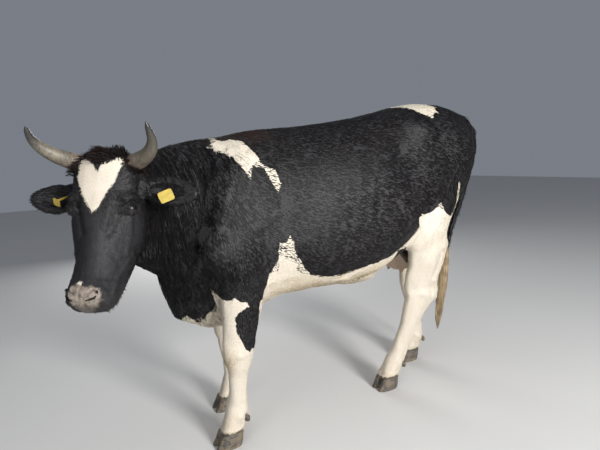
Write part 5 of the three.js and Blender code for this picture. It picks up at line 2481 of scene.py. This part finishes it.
@dataclass
class LongHair:
    """The wavy locks of the neck, the tousled poll and the ears' fringes."""

    hide: Hide
    finish: bpy.types.Material
    horn_root: Place = (-0.044, -0.092, -0.022)
    neck_density: float = 7500
    poll_density: float = 60000
    ear_density: float = 17000

    def build(self) -> None:
        """Makes each of them."""
        tree = self.hide.skin_tree()
        self.neck_locks(tree)
        self.poll_tuft(tree)
        self.ear_hair(tree)

    def neck_locks(self, tree: BVHTree) -> None:
        """The wavy locks down the neck and over the brisket, which lie close to the skin.

        Args:
            tree: the skin, which the hair stays out of.
        """
        own, regions = STANCE.own(self.hide.shape.points), self.hide.regions
        neck = (regions == Region.NECK) * ease(0.1, -0.02, own[:, 0]) * ease(1.24, 1.16, own[:, 2])
        brisket = (regions == Region.TRUNK) * ease(0.12, -0.05, own[:, 0]) * ease(0.85, 0.7, own[:, 2])
        roots = Roots.over(self.hide, np.maximum(neck, 0.5 * brisket) * self.neck_density, 51)
        draw = np.random.default_rng(9)
        count = len(roots.points)
        low = ease(0.62, 0.8, STANCE.own(roots.points)[:, 2])
        length = draw.uniform(0.03, 0.05, count) + low * draw.uniform(0.02, 0.07, count)
        fall = np.tile((0.1, -0.02, -1.0), (count, 1))
        paths = hanging(roots, length, 9, fall, 0.0026, 0.03, tree, 52, cling=True)
        paths = gathered(paths, 5, 0.45)
        self.piece("neck_locks", roots, paths, 0.0018, (-0.46, -0.25, 1.1), (0.1, 0.0, 0.5))

    def poll_tuft(self, tree: BVHTree) -> None:
        """The tousled hair of the poll, in thick strands combed over the forehead to the cow's right.

        Args:
            tree: the skin, which the hair stays out of.
        """
        local, regions = STANCE.on_head(self.hide.shape.points), self.hide.regions
        top = ease(-0.16, -0.12, local[:, 0]) * ease(-0.05, -0.03, local[:, 2])
        top = top * ease(0.098, 0.08, np.abs(local[:, 1]))
        top = top * ease(-0.07, -0.045, local[:, 1] + 1.4 * local[:, 2])
        top = top * (1 - ease(0.01, 0.022, local[:, 1]) * ease(-0.012, -0.032, local[:, 2]))
        mirrored = local * (1, -1, 1)
        to_right, to_left = (np.linalg.norm(at - self.horn_root, axis=1) for at in (local, mirrored))
        sleeve = np.minimum(to_right, to_left + 0.002)
        grown = among(regions, Region.HEAD, Region.NECK) * np.maximum(
            top, ease(0.048, 0.037, sleeve)
        )
        roots = Roots.over(self.hide, grown * self.poll_density, 61)
        draw = np.random.default_rng(10)
        count = len(roots.points)
        x, y, z = STANCE.on_head(roots.points).T
        curl = [wavy(roots.points, 0.034, 63 + k) for k in range(3)]
        forward = (0.6 + 0.2 * curl[0], -0.42 + 3.0 * y + 0.3 * curl[1], -0.5 + 0.2 * curl[2])
        behind = ease(-0.04, -0.062, x) * ease(-0.02, 0.0, z)
        upward = (-0.15 + 0 * x, -0.4 + 1.5 * y + 0.4 * curl[1], 0.85 + 0.2 * curl[2])
        raised_share = np.maximum(0.16, np.maximum(0.9 * behind, 0.75 * ease(0.012, 0.03, y)))
        standing = (draw.random(count) < raised_share).astype(float)[:, None]
        fall = np.stack(forward, axis=1) * (1 - standing) + np.stack(upward, axis=1) * standing
        places = np.stack([x, -np.abs(y), z], axis=1)
        from_horn = np.linalg.norm(places - self.horn_root, axis=1) + 0.002 * (y > 0)
        aside = ease(0.052, 0.041, from_horn)[:, None]
        outward = np.where((y < 0)[:, None], (0.5, -0.8, -0.35), (0.35, 0.85, -0.1))
        fall = fall * (1 - aside) + outward * aside
        middle = bell(y, -0.006, 0.012) * ease(-0.075, -0.05, x)
        length = draw.uniform(0.018, 0.03, count) + 0.03 * middle * (1 - standing[:, 0])
        length += aside[:, 0] * np.where(y < 0, 0.008, 0.0)
        length += 0.012 * ease(0.03, 0.045, y) * (1 - aside[:, 0])
        paths = hanging(roots, length, 9, STANCE.head_way(fall), 0.003, 0.75, tree, 62)
        paths = gathered(paths, 9, 0.62)
        start, end = STANCE.from_head((-0.08, 0, 0.05), (-0.08, 0, -0.12))
        self.piece("poll_tuft", roots, paths, 0.0015, start, end)

    def ear_hair(self, tree: BVHTree) -> None:
        """The ears' fringes: long inside and under the left ear, and short on the right one.

        Args:
            tree: the skin, which the hair stays out of.
        """
        local, regions = STANCE.on_head(self.hide.shape.points), self.hide.regions
        facing = STANCE.on_head(self.hide.shape.points + self.hide.shape.normals()) - local
        inner = ease(0.1, 0.5, facing[:, 0]) * ease(0.215, 0.17, np.abs(local[:, 1]))
        lower = ease(-0.2, -0.6, facing[:, 2])
        grown = (regions == Region.EAR) * ease(0.105, 0.13, np.abs(local[:, 1]))
        short = np.where(local[:, 1] < 0, ease(-0.2, -0.15, local[:, 1]) * 0.5, 1.0)
        density = grown * short * np.maximum(inner, lower) * self.ear_density
        roots = Roots.over(self.hide, density, 71)
        draw = np.random.default_rng(11)
        count = len(roots.points)
        y = STANCE.on_head(roots.points)[:, 1]
        left = (y > 0).astype(float)
        below = ease(-0.105, -0.125, STANCE.on_head(roots.points)[:, 2])
        length = draw.uniform(0.01, 0.02, count)
        length = length + left * draw.uniform(0.008, 0.024, count) * (1 + 1.3 * below)
        fall = np.stack([0.15 + 0 * y, np.sign(y) * (0.85 - 0.55 * left), -0.25 - 0.75 * left], axis=1)
        paths = gathered(hanging(roots, length, 6, STANCE.head_way(fall), 0.001, 0.3, tree, 72), 5, 0.4)
        start, end = STANCE.from_head((-0.1, -0.3, -0.1), (-0.1, 0.3, -0.1))
        self.piece("ear_hair", roots, paths, 0.001, start, end)

    def piece(
        self,
        name: str,
        roots: Roots,
        paths: Points,
        radius: float,
        start: Place,
        end: Place,
    ) -> None:
        """Makes one of the pieces, unrolled from a cylinder between two places in the cow's own frame.

        Args:
            name: the piece's name.
            roots: where it grows.
            paths: each hair's places from root to tip.
            radius: the hairs' half width.
            start: one end of the cylinder.
            end: its other end.
        """
        draw = np.random.default_rng(len(paths))
        steps = paths.shape[1]
        taper = np.linspace(1.0, 0.35, steps - 1)
        radii = radius * taper * draw.uniform(0.7, 1.25, (len(paths), 1))
        wrap = Wrap.along(start, end)
        settle(Locks().grow(name, paths, radii, roots.regions, wrap, self.finish), "black_coat")


@dataclass
class Cow:
    """The whole animal."""

    hide: Hide = field(default_factory=Hide)

    def build(self) -> None:
        """Makes the skin, and then what grows on it."""
        self.hide.build()
        LOG.info("skin shaped: %d faces", len(self.hide.shape.faces))
        shape = self.hide.shape
        white = whiteness(shape.points, self.hide.regions)
        values = {
            "white": white,
            "bare": bareness(shape.points, self.hide.regions),
            "stain": stains_and_shade(shape.points),
            "udder": (self.hide.regions == Region.UDDER) * ease(-0.002, 0.002, white),
            "hollow": self.hide.hollow,
            "low": ease(-0.478, -0.495, STANCE.on_head(shape.points)[:, 2]),
            "wet": self.hide.wet,
        }
        skin = make_object("skin", shape.points, shape.faces, SkinFinish().make(), values)
        settle(skin, "black_coat", *FLESH)
        coat = CoatFinish().make()
        Coat(self.hide, coat).build()
        LongHair(self.hide, coat).build()
        horn, claw, eye, tag = (kind().make() for kind in (HornFinish, ClawFinish, EyeFinish, TagFinish))
        for side in (1, -1):
            Horn(side).build(horn)
            name = side_name(side)
            settle(Eye(side).ball(eye), "eye", f"eye_{name}")
            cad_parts[f"ear_tag_{name}"].material_slots[0].material = tag
        for leg in LEGS:
            Feet(leg).build(claw)
        Switch().build(SwitchFinish().make())


def main() -> None:
    """Builds the studio and the cow."""
    logging.basicConfig(level=logging.INFO, format="%(asctime)s %(message)s")
    Studio().build()
    Cow().build()
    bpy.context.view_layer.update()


if __name__ == "__main__":
    main()
